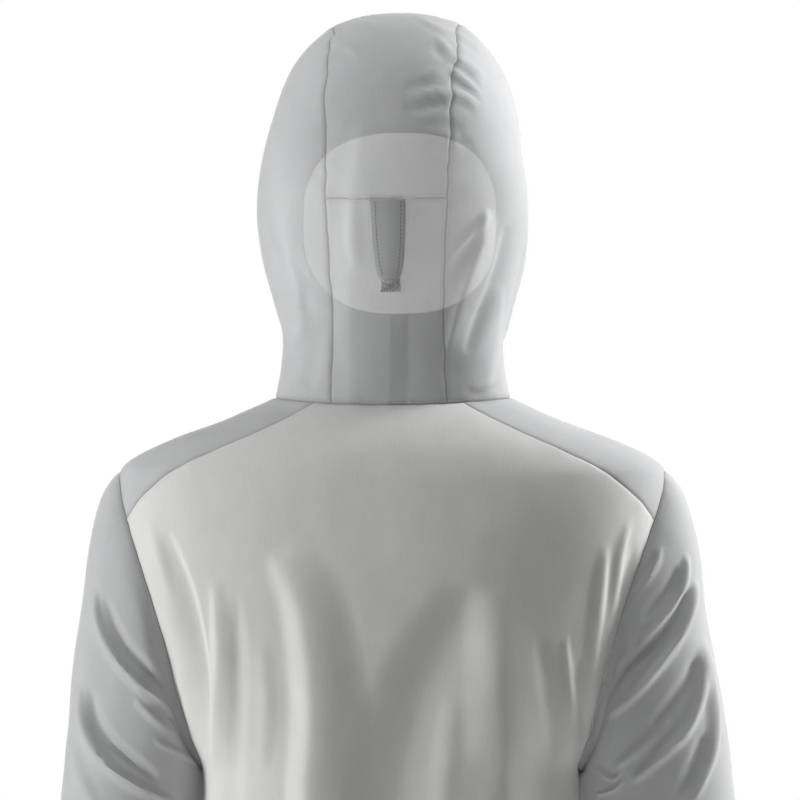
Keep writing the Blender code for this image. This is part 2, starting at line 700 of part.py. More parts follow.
def wall_mesh(name, outer, inner, closed):
    """Closed mesh between an outer and an inner grid of points."""
    rows, columns = len(outer), len(outer[0])
    size = rows * columns
    corners = [point for row in outer for point in row] + [point for row in inner for point in row]
    faces = []
    spans = columns if closed else columns - 1
    for j in range(rows - 1):
        for i in range(spans):
            k = (i + 1) % columns
            a, b, c, d = j * columns + i, (j + 1) * columns + i, (j + 1) * columns + k, j * columns + k
            faces.append((a, b, c, d))
            faces.append((a + size, d + size, c + size, b + size))
    top = (rows - 1) * columns
    for i in range(spans):
        k = (i + 1) % columns
        faces.append((i, k, k + size, i + size))
        faces.append((top + k, top + i, top + i + size, top + k + size))
    for j in range(0 if closed else rows - 1):
        a, b = j * columns, (j + 1) * columns
        c, d = a + columns - 1, b + columns - 1
        faces.append((b, a, a + size, b + size))
        faces.append((c, d, d + size, c + size))
    mesh = bpy.data.meshes.new(name)
    mesh.from_pydata([tuple(corner) for corner in corners], [], faces)
    mesh.update()
    return mesh


# ---- Objects -----------------------------------------------------------------------------------

def make_material(name, colour, roughness, metallic=0.0):
    material = bpy.data.materials.new(name)
    material.use_nodes = True
    shader = material.node_tree.nodes["Principled BSDF"]
    shader.inputs["Base Color"].default_value = (*colour, 1.0)
    shader.inputs["Roughness"].default_value = roughness
    shader.inputs["Metallic"].default_value = metallic
    material.diffuse_color = (*colour, 1.0)
    return material


def add_object(name, mesh, colour, roughness=0.85, metallic=0.0):
    mesh.materials.append(make_material(name, colour, roughness, metallic))
    mesh.shade_smooth()
    mesh.set_sharp_from_angle(angle=math.radians(50))
    item = bpy.data.objects.new(name, mesh)
    bpy.context.scene.collection.objects.link(item)
    return item


def add_cloth_panel(panel, normals):
    directions = wall_directions(panel, normals)
    outer = draw_back_edges(panel, directions, SEAM_GAP / 2)
    inner = [
        [point - WALL * direction for point, direction in zip(row, line)]
        for row, line in zip(outer, directions)
    ]
    mesh = wall_mesh(panel.name, outer, inner, panel.closed)
    add_object(panel.name, mesh, panel.colour)
    return SimpleNamespace(rows=outer, directions=directions)


def cloth_panels():
    """Every cloth panel of the garment, before its folds are raised."""
    left = [front_left_panel(), yoke_left_panel(), hood_side_left_panel()]
    right = [mirror_panel(panel, panel.name.replace("left", "right")) for panel in left]
    sleeves = [
        sleeve_panel("sleeve_left", False),
        mirror_panel(sleeve_panel("sleeve_right", True), "sleeve_right"),
    ]
    return [back_panel()] + left + right + sleeves + list(hood_centre_panels())


def on_panel(panel, row, column):
    """Point and outward direction between the points of a finished panel."""
    j = min(int(row), len(panel.rows) - 2)
    i = min(int(column), len(panel.rows[0]) - 2)
    up, right = row - j, column - i

    def blend(grid):
        low = grid[j][i].lerp(grid[j][i + 1], right)
        high = grid[j + 1][i].lerp(grid[j + 1][i + 1], right)
        return low.lerp(high, up)

    return blend(panel.rows), blend(panel.directions).normalized()


def laid_on(name, panel, rows, halves, lifts, wall, colour):
    """A piece that lies on a panel, made from the panel's points moved out."""
    middle = (len(HOOD_STRIP_SHARES) - 1) / 2
    outer, inner = [], []
    for row, half, lift in zip(rows, halves, lifts):
        columns = [middle - half, middle - 1, middle, middle + 1, middle + half]
        spots = [on_panel(panel, row, column) for column in columns]
        inner.append([point + direction * lift for point, direction in spots])
        outer.append([point + direction * (lift + wall) for point, direction in spots])
    return add_object(name, wall_mesh(name, outer, inner, False), colour)


def add_tab(strip):
    """The stitched tab that hangs from the cross seam and stands off at its end."""
    top = len(strip.rows) - 1
    rows = [top - (TAB_ROWS - index) / TAB_STEPS_A_ROW for index in range(TAB_ROWS + 1)]
    halves = list(reversed(TAB_HALF_COLUMNS))
    lifts = [SEAM_GAP + TAB_LIFT * (TAB_ROWS - index) / TAB_ROWS for index in range(TAB_ROWS + 1)]
    laid_on("hood_tab", strip, rows, halves, lifts, TAB_WALL, COOL_CLOTH)


def add_tab_fastener(strip):
    """The fastener flat on the strip, under and past the end of the tab."""
    top = len(strip.rows) - 1
    last = FASTENER_FIRST_ROW + FASTENER_ROWS
    rows = [top - (last - index) / TAB_STEPS_A_ROW for index in range(FASTENER_ROWS + 1)]
    halves = [FASTENER_HALF_COLUMNS] * len(rows)
    lifts = [SEAM_GAP] * len(rows)
    laid_on("hood_tab_fastener", strip, rows, halves, lifts, FASTENER_WALL, TRIM_GREY)


def add_zip_tapes():
    """The two tapes of the zip, each between the chain and the edge of the opening."""
    low, high = ZIP_CHAIN_HALF + SEAM_GAP, ZIP_OPENING_HALF
    left = make_panel("zip_tape_left", strip_points(low, high), "zip", TRIM_GREY)
    for panel in (left, mirror_panel(left, "zip_tape_right")):
        normals = shared_normals([panel])
        directions = wall_directions(panel, normals)
        outer = draw_back_edges(panel, directions, SEAM_GAP / 2)
        inner = [
            [point - ZIP_TAPE_WALL * direction for point, direction in zip(row, line)]
            for row, line in zip(outer, directions)
        ]
        add_object(panel.name, wall_mesh(panel.name, outer, inner, False), TRIM_GREY)


def zip_line():
    """Points of the zip line from the hem to the top."""
    rows = strip_points(0.0, ZIP_CHAIN_HALF)
    return [row[1] for row in rows]


def line_directions(points):
    """Outward direction, square to the line and to X, at each point of the zip line."""
    directions = []
    for index in range(len(points)):
        run = points[min(index + 1, len(points) - 1)] - points[max(index - 1, 0)]
        directions.append(Vector((0, -run.z, run.y)).normalized())
    return directions


def cut_line(points, start, end):
    """The part of a line between two lengths along it."""
    kept = []
    length = 0.0
    for first, second in zip(points, points[1:]):
        run = (second - first).length
        for mark in (start, end):
            if length <= mark < length + run:
                kept.append((mark, first.lerp(second, (mark - length) / run)))
        length += run
        if start < length < end:
            kept.append((length, second))
    return [point for _, point in sorted(kept, key=lambda item: item[0])]


def line_length(points):
    return sum((second - first).length for first, second in zip(points, points[1:]))


def add_bar(name, points, half, proud, wall, colour, metallic=0.0):
    """A flat bar along the zip line."""
    outer, inner = [], []
    for point, direction in zip(points, line_directions(points)):
        across = (Vector((half, 0, 0)), Vector((-half, 0, 0)))
        outer.append([point + side + direction * proud for side in across])
        inner.append([point + side + direction * (proud - wall) for side in across])
    return add_object(name, wall_mesh(name, outer, inner, False), colour, 0.6, metallic)


def add_zip_chain():
    """The closed chain of the zip, and the box at its foot."""
    line = zip_line()
    top = line_length(line) - SLIDER_BELOW_TOP + SLIDER_UP[-2] - SEAM_GAP
    chain = cut_line(line, ZIP_BOX_LENGTH + SEAM_GAP, top)
    box = cut_line(line, SEAM_GAP, ZIP_BOX_LENGTH)
    add_bar("zip_chain", chain, ZIP_CHAIN_HALF, ZIP_CHAIN_PROUD, ZIP_CHAIN_WALL, TRIM_GREY)
    add_bar("zip_box", box, ZIP_CHAIN_HALF, ZIP_BOX_PROUD, ZIP_BOX_WALL, METAL, 0.6)


def cell_mesh(name, across, out, up, filled):
    """Closed mesh round the filled cells of a grid that has its splits on three axes."""
    corners, faces, index = [], [], {}

    def corner(i, j, k):
        if (i, j, k) not in index:
            index[i, j, k] = len(corners)
            corners.append((across[i], -out[j], up[k]))
        return index[i, j, k]

    def solid(i, j, k):
        inside = 0 <= i < len(across) - 1 and 0 <= j < len(out) - 1 and 0 <= k < len(up) - 1
        return inside and filled(i, j, k)

    sides = {
        (-1, 0, 0): ((0, 0, 0), (0, 1, 0), (0, 1, 1), (0, 0, 1)),
        (1, 0, 0): ((1, 0, 0), (1, 0, 1), (1, 1, 1), (1, 1, 0)),
        (0, -1, 0): ((0, 0, 0), (0, 0, 1), (1, 0, 1), (1, 0, 0)),
        (0, 1, 0): ((0, 1, 0), (1, 1, 0), (1, 1, 1), (0, 1, 1)),
        (0, 0, -1): ((0, 0, 0), (1, 0, 0), (1, 1, 0), (0, 1, 0)),
        (0, 0, 1): ((0, 0, 1), (0, 1, 1), (1, 1, 1), (1, 0, 1)),
    }
    for i in range(len(across) - 1):
        for j in range(len(out) - 1):
            for k in range(len(up) - 1):
                for (di, dj, dk), ring in sides.items():
                    if solid(i, j, k) and not solid(i + di, j + dj, k + dk):
                        faces.append([corner(i + a, j + b, k + c) for a, b, c in ring])
    mesh = bpy.data.meshes.new(name)
    mesh.from_pydata(corners, [], faces)
    mesh.update()
    return mesh


def slider_cell(i, j, k):
    """Whether a cell of the slider is solid: two plates, a neck and a bridge."""
    plate = j in (0, 2)
    neck = 1 <= i <= 3 and k == 5 and j == 1
    bridge = i == 2 and ((j == 4 and 1 <= k <= 3) or (j == 3 and k in (1, 3)))
    return plate or neck or bridge


def pull_cell(i, j, k):
    """Whether a cell of the pull is solid: a bar, two legs and a plate."""
    plate = k == 0
    legs = k == 1 and i in (1, 3)
    bar = k == 2 and 1 <= i <= 3
    return plate or legs or bar


def add_slider():
    """The slider near the top of the zip; returns where its pull turns."""
    line = zip_line()
    length = line_length(line)
    low, high = (length - SLIDER_BELOW_TOP + end for end in (SLIDER_UP[0], SLIDER_UP[-1]))
    stretch = cut_line(line, low, high)
    up = (stretch[-1] - stretch[0]).normalized()
    centre = stretch[0].lerp(stretch[-1], 0.5)
    right = Vector((1, 0, 0))
    into_cloth = up.cross(right)
    mesh = cell_mesh("zip_slider", SLIDER_ACROSS, SLIDER_OUT, SLIDER_UP, slider_cell)
    slider = add_object("zip_slider", mesh, METAL, 0.35, 0.9)
    turn = Matrix((right, into_cloth, up)).transposed().to_4x4()
    slider.matrix_world = Matrix.Translation(centre) @ turn
    return centre - into_cloth * PULL_PIVOT_OUT + up * PULL_PIVOT_UP


def add_pull(pivot):
    """The pull, which hangs straight down from the slider's bridge and turns about X."""
    thickness = (-PULL_HALF_THICK, PULL_HALF_THICK)
    mesh = cell_mesh("zip_pull", PULL_ACROSS, thickness, PULL_UP, pull_cell)
    pull = add_object("zip_pull", mesh, METAL, 0.35, 0.9)
    pull.location = pivot


def main():
    for item in list(bpy.data.objects):
        bpy.data.objects.remove(item, do_unlink=True)
    panels = cloth_panels()
    lean_hood(panels)
    raise_folds(panels)
    normals = shared_normals(panels)
    finished = {panel.name: add_cloth_panel(panel, normals) for panel in panels}
    add_tab(finished["hood_centre_lower"])
    add_tab_fastener(finished["hood_centre_lower"])
    add_zip_tapes()
    add_zip_chain()
    add_pull(add_slider())


main()
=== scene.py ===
"""Looks of the hooded shell jacket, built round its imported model. Metres, +Z up.

The origin is the middle of the neck seam, the back faces +Y, the zipped front -Y,
and the wearer's left is +X. Every cloth panel is worked out again from the sizes of
its solid, with many more points, so that creases, puckers and rolled seam edges
show. Each piece rides on its body and stands for its solid.
"""

import math
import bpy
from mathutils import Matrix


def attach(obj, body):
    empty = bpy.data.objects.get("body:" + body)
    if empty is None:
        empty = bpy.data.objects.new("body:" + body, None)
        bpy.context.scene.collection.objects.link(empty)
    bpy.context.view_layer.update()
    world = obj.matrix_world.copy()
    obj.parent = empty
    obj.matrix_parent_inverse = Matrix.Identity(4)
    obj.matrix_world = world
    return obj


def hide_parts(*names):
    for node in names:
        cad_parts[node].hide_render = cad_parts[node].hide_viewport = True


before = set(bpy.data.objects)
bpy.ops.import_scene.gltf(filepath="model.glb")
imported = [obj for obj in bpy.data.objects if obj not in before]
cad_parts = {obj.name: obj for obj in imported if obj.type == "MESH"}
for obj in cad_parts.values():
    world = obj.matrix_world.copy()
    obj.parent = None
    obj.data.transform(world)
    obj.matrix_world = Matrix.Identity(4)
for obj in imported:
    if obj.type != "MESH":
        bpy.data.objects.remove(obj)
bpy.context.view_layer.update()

from types import SimpleNamespace

import bmesh
import bpy
import numpy as np
from mathutils import Matrix, Vector, noise
from mathutils.kdtree import KDTree

# ---- Sizes shared with the solids ----

HEM_LEVEL = -0.72
PIT_LEVEL = -0.315
TIP_LEVEL = -0.059
NECK_LEVEL = 0.004
SIDE = math.radians(90)
ARMHOLE_BACK_SWING = math.radians(31)
ARMHOLE_FRONT_SWING = math.radians(35)
ARMHOLE_ROUNDING = 0.5
YOKE_CORNER = 0.738
YOKE_NECK_HALF = 0.063
YOKE_FRONT_NECK_HALF = 0.055
HOOD_SPLIT = 0.40
ZIP_OPENING_HALF = 0.0080

# Steps along each seam of the solids, and how many times finer the cloth is here.
SIDE_STEPS = 14
ARMHOLE_STEPS = 9
YOKE_ARMHOLE_STEPS = 10
YOKE_SEAM_STEPS = 8
FRONT_NECK_STEPS = 5
HOOD_LOWER_STEPS = 8
HOOD_UPPER_STEPS = 11
SLEEVE_STEPS = 17
FINE = 7
SLEEVE_FINE = 10

# ---- Ring tables ----
# half_width is the reach to each side. outer is the end at the back, or over the
# crown, and inner is the end at the front zip. squareness is the power of the
# oval. dip is the power with which a ring leaves the height of its side point.

RING_COLUMNS = (
    "place", "half_width", "side_y", "side_z", "outer_y", "outer_z", "inner_y", "inner_z",
    "squareness", "dip",
)

NECK_RING = (0.102, -0.010, 0.004, 0.060, -0.002, -0.086, -0.055, 2.20, 2.0)

TRUNK_RINGS = (
    (-0.720, 0.186, -0.002, -0.720, 0.118, -0.720, -0.124, -0.720, 2.40, 2.0),
    (-0.550, 0.178, -0.002, -0.550, 0.119, -0.550, -0.127, -0.550, 2.40, 2.0),
    (-0.420, 0.1690, -0.002, -0.420, 0.124, -0.420, -0.131, -0.420, 2.40, 2.0),
    (-0.360, 0.1645, -0.002, -0.360, 0.127, -0.360, -0.133, -0.360, 2.40, 2.0),
    (-0.315, 0.1640, -0.002, -0.315, 0.129, -0.315, -0.134, -0.315, 2.40, 2.0),
    (-0.285, 0.1790, -0.002, -0.285, 0.130, -0.286, -0.134, -0.288, 2.40, 2.0),
    (-0.240, 0.201, -0.002, -0.240, 0.130, -0.243, -0.133, -0.250, 2.35, 2.0),
    (-0.170, 0.226, -0.003, -0.170, 0.126, -0.175, -0.130, -0.192, 2.30, 2.0),
    (-0.100, 0.237, -0.004, -0.100, 0.117, -0.105, -0.124, -0.137, 2.30, 2.0),
    (-0.059, 0.2355, -0.005, -0.059, 0.107, -0.064, -0.116, -0.104, 2.25, 2.0),
    (-0.047, 0.2225, -0.006, -0.047, 0.102, -0.052, -0.112, -0.094, 2.22, 2.0),
    (-0.033, 0.193, -0.007, -0.033, 0.095, -0.039, -0.107, -0.083, 2.20, 2.0),
    (-0.0156, 0.146, -0.009, -0.0156, 0.080, -0.0205, -0.098, -0.069, 2.20, 2.0),
    (NECK_LEVEL,) + NECK_RING,
)

HOOD_RINGS = (
    (0.00,) + NECK_RING,
    (0.08, 0.0970, -0.012, 0.032, 0.061, 0.030, -0.091, -0.040, 2.20, 1.8),
    (0.18, 0.0965, -0.014, 0.060, 0.071, 0.078, -0.097, -0.022, 2.20, 1.5),
    (0.29, 0.1050, -0.012, 0.095, 0.090, 0.126, -0.103, -0.002, 2.25, 1.2),
    (0.40, 0.1110, -0.006, 0.122, 0.1035, 0.176, -0.108, 0.016, 2.25, 1.1),
    (0.50, 0.1170, -0.006, 0.150, 0.103, 0.228, -0.1115, 0.032, 2.25, 1.0),
    (0.60, 0.1170, -0.018, 0.172, 0.083, 0.280, -0.114, 0.045, 2.25, 1.0),
    (0.70, 0.1120, -0.040, 0.192, 0.040, 0.322, -0.116, 0.056, 2.30, 1.0),
    (0.80, 0.1105, -0.066, 0.202, -0.014, 0.3375, -0.1175, 0.065, 2.40, 1.0),
    (0.90, 0.1050, -0.092, 0.195, -0.068, 0.315, -0.1190, 0.072, 2.40, 1.0),
    (1.00, 0.0880, -0.120, 0.161, -0.120, 0.243, -0.1205, 0.079, 2.60, 1.0),
)

# outer is the silhouette line down from the shoulder, inner the line under the arm.
SLEEVE_COLUMNS = (
    "place", "outer_x", "outer_z", "inner_x", "inner_z", "middle_y", "half_depth", "squareness",
)
SLEEVE_RINGS = (
    (0.00, 0.2355, -0.059, 0.1640, -0.315, -0.002, 0.062, 2.0),
    (0.025, 0.2450, -0.0685, 0.1646, -0.3165, -0.002, 0.064, 2.0),
    (0.06, 0.2545, -0.087, 0.1652, -0.3195, -0.003, 0.067, 2.0),
    (0.13, 0.2640, -0.128, 0.1658, -0.325, -0.004, 0.070, 2.1),
    (0.21, 0.2705, -0.178, 0.1664, -0.332, -0.006, 0.072, 2.1),
    (0.29, 0.2785, -0.230, 0.1672, -0.343, -0.008, 0.072, 2.1),
    (0.37, 0.2830, -0.282, 0.1692, -0.361, -0.010, 0.070, 2.1),
    (0.46, 0.2895, -0.342, 0.1750, -0.392, -0.013, 0.068, 2.1),
    (0.56, 0.2970, -0.412, 0.1870, -0.440, -0.018, 0.064, 2.1),
    (0.68, 0.3090, -0.492, 0.2060, -0.506, -0.025, 0.058, 2.1),
    (0.80, 0.3200, -0.572, 0.2250, -0.578, -0.033, 0.051, 2.1),
    (0.91, 0.3280, -0.640, 0.2430, -0.643, -0.041, 0.044, 2.1),
    (1.00, 0.3330, -0.685, 0.2560, -0.688, -0.046, 0.039, 2.1),
)
# The right arm hangs wider: how far its outer and inner lines lie further out.
RIGHT_ARM_PLACES = (0.0, 0.13, 0.21, 0.29, 0.37, 0.46, 0.60, 1.0)
RIGHT_ARM_OUTER = (0.0, 0.002, 0.001, 0.002, 0.007, 0.007, 0.008, 0.009)
RIGHT_ARM_INNER = (0.0, 0.0, 0.0, 0.0, 0.0, 0.001, 0.007, 0.011)

# Over this share of the sleeve the armhole's own shape turns into plain rings.
SLEEVE_BLEND = 0.40

# The yoke's seams at the back and at the front: points as seen square on, x across from
# the middle and z up, and the half width of the neck where the seam ends.
YOKE_SEAMS = (
    (((0.097, -0.018), (0.137, -0.036), (0.170, -0.051), (0.198, -0.069)), YOKE_NECK_HALF),
    (((0.095, -0.0545), (0.157, -0.0700), (0.203, -0.0875)), YOKE_FRONT_NECK_HALF),
)

# The level of a seam point is found in this many turns, each by this share of the miss.
SEAM_SEARCH_TURNS = 60
SEAM_SEARCH_STEP = 0.7

# From this place up the columns of the hood's sides are evenly spaced.
HOOD_EVEN_PLACE = 0.25

# Above this height the hood leans towards the wearer's right, by this much at its top.
HOOD_LEAN_START = 0.12
HOOD_LEAN_END = 0.336
HOOD_LEAN = 0.0045

# Half width of the hood's centre strip along its length.
HOOD_STRIP_PLACES = (0.0, 0.20, 0.40, 0.70, 1.0)
HOOD_STRIP_HALVES = (0.0495, 0.0475, 0.0515, 0.0540, 0.0500)

# Columns of the centre strip, as shares of its half width. The tab on the solid is as wide
# as the two columns on each side of its middle.
HOOD_STRIP_SHARES = (-1.0, -0.667, -0.333, -0.172, 0.0, 0.172, 0.333, 0.667, 1.0)

# ---- The photograph's view ----

CAMERA_DISTANCE = 3.0
CAMERA_LENS, CAMERA_SENSOR = 155.9, 36.0
VIEW_TURN = math.radians(3)
METRES_A_PIXEL = 0.000866
VIEW_RIGHT = np.array((-math.cos(VIEW_TURN), -math.sin(VIEW_TURN), 0.0))
VIEW_FORWARD = np.array((math.sin(VIEW_TURN), -math.cos(VIEW_TURN), 0.0))
# The middle of the picture lies this far right of the neck seam's middle, and above it.
VIEW_CENTRE = (8 * METRES_A_PIXEL, 2 * METRES_A_PIXEL)
CAMERA_PLACE = (
    -VIEW_FORWARD * CAMERA_DISTANCE + VIEW_RIGHT * VIEW_CENTRE[0] + np.array((0, 0, VIEW_CENTRE[1]))
)

# ---- Creases ----
# For a region and a view, each row is a crease, in millimetres: its reach to the left and
# to the right of the way its line runs, its height, and then the line, point by point. A
# positive height stands out, a negative one dips in. Points of the view "back" lie in the
# plane of the camera's view, across and up from the neck seam. Points of the views "front"
# and "plain" are x and z, on the front and on the back.

MM = 0.001
CREASES = {
    ("trunk", "back"): (
        (52, 24, 11.5, -100, -133, -82, -171, -72, -219, -68, -271, -72, -345, -77, -414, -81,
         -492),
        (62, 52, -9.5, 73, -163, 48, -210, 29, -251, 15, -294, 5, -345, -1, -414, -3, -492),
        (54, 36, 6.4, 81, -165, 88, -215, 94, -267, 97, -310, 100, -371, 104, -431, 107, -509),
        (12, 14, -2, 128, -206, 136, -249, 144, -297, 151, -345, 156, -388),
        (8, 8, 4, 150, -206, 154, -258, 158, -301, 163, -353, 166, -414),
        (6, 7, -3, 161, -223, 165, -267, 170, -301),
        (6, 12, 4, 186, -126, 181, -171, 175, -223, 170, -275),
        (4, 7, 3.2, 206, -104, 199, -130, 195, -158, 191, -187),
        (5, 5, -2.5, 210, -124, 204, -150, 199, -171),
        (17, 10, 5, -154, -158, -150, -215, -152, -258, -157, -319, -159, -388, -158, -466),
        (7, 24, -9, -194, -115, -178, -158, -167, -206, -162, -249, -160, -301, -162, -353),
        (9, 7, 2.5, -211, -102, -203, -132, -194, -163),
        (12, 10, -2, -135, -171, -132, -223, -133, -275, -137, -336, -139, -405),
        (12, 12, 1.5, -113, -206, -109, -258, -113, -319),
        (16, 16, 1.5, 52, -258, 47, -310, 42, -362),
    ),
    ("trunk", "plain"): (
        (30, 26, 7, 60, -385, 75, -520, 70, -695),
        (28, 32, -7, -75, -370, -90, -520, -80, -690),
        (14, 18, -4.5, 118, -400, 125, -500, 112, -640),
        (20, 16, 3.5, -20, -420, -12, -540, -22, -660),
        (12, 16, 4.2, -128, -390, -136, -470, -128, -600),
        (18, 14, -3.2, 18, -560, 24, -630, 16, -710),
    ),
    ("trunk", "front"): (
        (28, 34, 7, 120, -190, 98, -280, 110, -400),
        (32, 26, 6, -115, -180, -95, -290, -120, -390),
        (34, 30, -7, 75, -430, 85, -540, 70, -690),
        (30, 34, -6, -80, -400, -95, -530, -85, -680),
        (10, 14, -4, 190, -130, 172, -190, 150, -255),
        (14, 10, -4.2, -192, -125, -170, -195, -152, -250),
        (8, 13, 3.6, 152, -230, 146, -300, 150, -372),
        (13, 9, 3.4, -148, -225, -150, -290, -146, -380),
        (16, 20, -3.6, 62, -150, 56, -240, 64, -350),
        (18, 15, -3.4, -60, -170, -58, -260, -68, -340),
        (12, 14, 2.6, 36, -380, 30, -470, 40, -560),
        (12, 13, 2.6, -36, -400, -30, -500, -38, -600),
        (12, 17, 4.2, 128, -420, 134, -520, 122, -640),
        (17, 12, 4.4, -132, -410, -138, -500, -126, -650),
        (10, 12, 1.8, 110, -85, 90, -120, 78, -165),
        (12, 10, 1.8, -108, -90, -92, -125, -76, -160),
    ),
    ("sleeve", "back"): (
        (5, 12, 8, -257, -165, -252, -191, -242, -213, -226, -234, -204, -255, -184, -274),
        (10, 5, -5.8, -249, -171, -243, -191, -233, -210, -216, -229, -196, -249, -178, -265),
        (5, 12, 8, -270, -249, -266, -277, -254, -301, -236, -320, -210, -336, -188, -345),
        (12, 5, -6.5, -263, -249, -259, -274, -247, -294, -229, -310, -203, -328),
        (7, 9, -4.3, -208, -203, -194, -225, -181, -249),
        (6, 7, -4.1, -216, -249, -198, -265, -180, -281),
        (5, 8, 3.2, -222, -258, -204, -274, -187, -289),
        (4, 5, 3.2, -205, -294, -185, -303, -166, -314),
        (9, 10, 2.9, -279, -293, -270, -323, -257, -349),
        (7, 6, 6.5, 255, -133, 253, -152, 246, -170, 236, -184, 223, -199, 213, -211),
        (4, 10, -5.1, 248, -145, 241, -163, 229, -177, 217, -191),
        (9, 7, 8, 262, -154, 260, -171, 253, -191, 242, -211, 226, -232, 208, -253, 187, -272),
        (5, 10, -7.3, 256, -163, 249, -184, 236, -203, 219, -218, 200, -236, 183, -258),
        (9, 8, 8, 268, -213, 268, -241, 262, -265, 251, -287, 232, -307, 208, -328),
        (5, 12, -5.8, 264, -223, 258, -244, 244, -263, 225, -282),
        (7, 8, 5.8, 270, -206, 275, -239, 279, -271, 277, -303, 268, -329, 258, -349),
        (4, 12, -5.1, 272, -288, 268, -307, 260, -324, 248, -340),
        (5, 6, 3.2, 232, -126, 228, -142, 217, -159, 206, -173),
        (3, 7, -2.9, 228, -130, 223, -144, 212, -158),
        (7, 9, 3.6, 241, -277, 215, -300, 193, -317),
        (3, 4, 2.9, 178, -317, 191, -326, 199, -320),
        (3, 3, 2.9, 176, -340, 191, -336, 201, -327),
    ),
    ("hood", "back"): (
        (5, 4, 1.4, 61, 325, 74, 313, 86, 297),
        (4, 4, 1.3, 55, 321, 68, 312, 80, 301),
        (4, 6, 2.2, 52, 300, 66, 293, 81, 281),
        (4, 5, -2.2, 50, 294, 62, 286, 76, 272),
        (4, 6, 1.9, 50, 288, 64, 280, 77, 267),
        (4, 5, -1.9, 49, 279, 61, 273, 76, 263),
        (4, 6, 1.6, 49, 272, 61, 267, 74, 258),
        (4, 6, -1.6, 48, 263, 60, 258, 71, 251),
        (4, 5, -1.2, 48, 226, 59, 225, 71, 221),
        (4, 5, 1.4, 23, 282, 36, 286, 49, 289),
        (5, 5, -2.2, 9, 272, 28, 275, 49, 279),
        (4, 4, 1.8, 17, 264, 33, 267, 48, 270),
        (5, 5, -2.4, 10, 254, 29, 256, 48, 261),
        (4, 6, 1.1, 16, 246, 33, 248, 48, 250),
        (4, 4, -1.6, 29, 225, 39, 225, 48, 226),
        (3, 4, 1.1, 31, 232, 40, 233, 48, 234),
        (4, 4, 1.4, 20, 335, 35, 326, 52, 318),
        (4, 4, 1.6, 37, 316, 45, 309, 52, 302),
        (4, 4, -1.4, 34, 308, 42, 301, 49, 295),
        (4, 5, 2.1, -53, 305, -42, 309, -29, 303),
        (4, 4, -1.6, -54, 297, -42, 301, -30, 298),
        (3, 3, 1.1, -53, 316, -44, 314),
        (3, 3, -0.7, -49, 267, -35, 268, -12, 268),
        (6, 6, 1.1, -35, 324, -24, 327, -12, 326),
        (69, 21, 3.4, -24, 246, -27, 210, -30, 166, -33, 123, -35, 80, -34, 43, -32, 5),
        (19, 14, 1.8, 11, 177, 12, 151, 10, 118),
        (15, 6, 1.9, -36, 175, -36, 145, -31, 116),
        (19, 7, 4.6, 81, 165, 74, 133, 64, 106, 55, 78, 48, 47),
        (14, 7, -2.8, 99, 152, 94, 126, 86, 100, 74, 73, 63, 43),
        (9, 36, 2.6, 94, 101, 89, 62, 84, 29, 81, 6),
        (6, 6, 2.2, 84, 164, 66, 143, 47, 123),
        (7, 8, -2.6, 76, 144, 62, 125, 50, 105),
        (5, 6, 1.3, 99, 26, 87, 16, 68, 10),
        (8, 10, 2.4, -91, 125, -81, 101, -79, 69),
        (9, 7, 2.2, -74, 78, -80, 61, -87, 45),
        (12, 12, -1.6, -64, 62, -69, 36, -73, 10),
        (7, 6, 1.6, -107, 156, -100, 136, -94, 116),
    ),
    ("sleeve", "plain"): (
        (16, 20, -5.5, 290, -425, 262, -462, 216, -482),
        (10, 14, 4.5, 296, -455, 266, -492, 222, -508),
        (12, 14, -4, 300, -520, 276, -545, 236, -552),
        (10, 12, 3.4, 310, -590, 288, -604, 252, -600),
        (8, 10, -2.6, 318, -640, 296, -650, 262, -642),
        (20, 16, -5.5, -296, -415, -266, -452, -222, -478),
        (14, 10, 4.5, -304, -450, -274, -488, -232, -506),
        (14, 12, -4, -312, -515, -286, -540, -246, -552),
        (12, 10, 3.4, -322, -585, -300, -600, -262, -598),
        (10, 8, -2.6, -328, -640, -308, -650, -272, -644),
    ),
    ("sleeve", "front"): (
        (14, 18, -5.5, 262, -175, 235, -240, 185, -300),
        (18, 14, -5.5, -262, -180, -232, -248, -185, -302),
        (8, 12, 4.5, 268, -215, 250, -275, 204, -335),
        (12, 8, 4.5, -270, -210, -250, -280, -206, -338),
        (10, 14, -4, 276, -275, 262, -330, 222, -380),
        (14, 10, -4, -280, -280, -262, -335, -222, -384),
        (14, 16, 4.8, 288, -400, 262, -440, 222, -458),
        (16, 14, 4.8, -296, -405, -268, -445, -228, -462),
        (12, 14, -4.5, 298, -450, 272, -480, 232, -492),
        (14, 12, -4.5, -306, -455, -278, -486, -238, -496),
        (10, 12, 3.6, 306, -540, 282, -560, 246, -566),
        (12, 10, 3.6, -314, -545, -290, -566, -254, -570),
        (10, 10, -3, 314, -610, 292, -624, 258, -620),
        (10, 10, -3, -322, -612, -300, -628, -266, -622),
    ),
    ("hood", "front"): (
        (10, 12, 2.4, 86, 205, 98, 165, 94, 120),
        (12, 10, 2.4, -88, 208, -100, 160, -94, 115),
        (10, 12, -1.8, 40, 10, 52, -14, 44, -40),
        (12, 10, -1.8, -42, 12, -52, -12, -44, -38),
    ),
}

# Share of a crease's reach at its two ends, and the power that sharpens its crest.
CREASE_END_REACH = 0.5
CREASE_POWER = 1.7
CREASE_SAMPLES = 24
# A crease fades where the cloth turns to the side.
TRUNK_TURN, TRUNK_CUT = 1.6, 0.5
SLEEVE_TURN = 0.35

# ---- Cloth ----

# How far the middle of the hood's cross seam is pulled down, and over what length.
CROSS_SAG, CROSS_REACH = 0.0125, 0.12
# Under the arm the soft sleeve rests against the trunk, this much past its solid.
SLEEVE_REST_PLACES = (0.0, 0.05, 0.38, 0.62, 1.0)
SLEEVE_REST = (0.0, 0.0034, 0.0034, 0.0, 0.0)

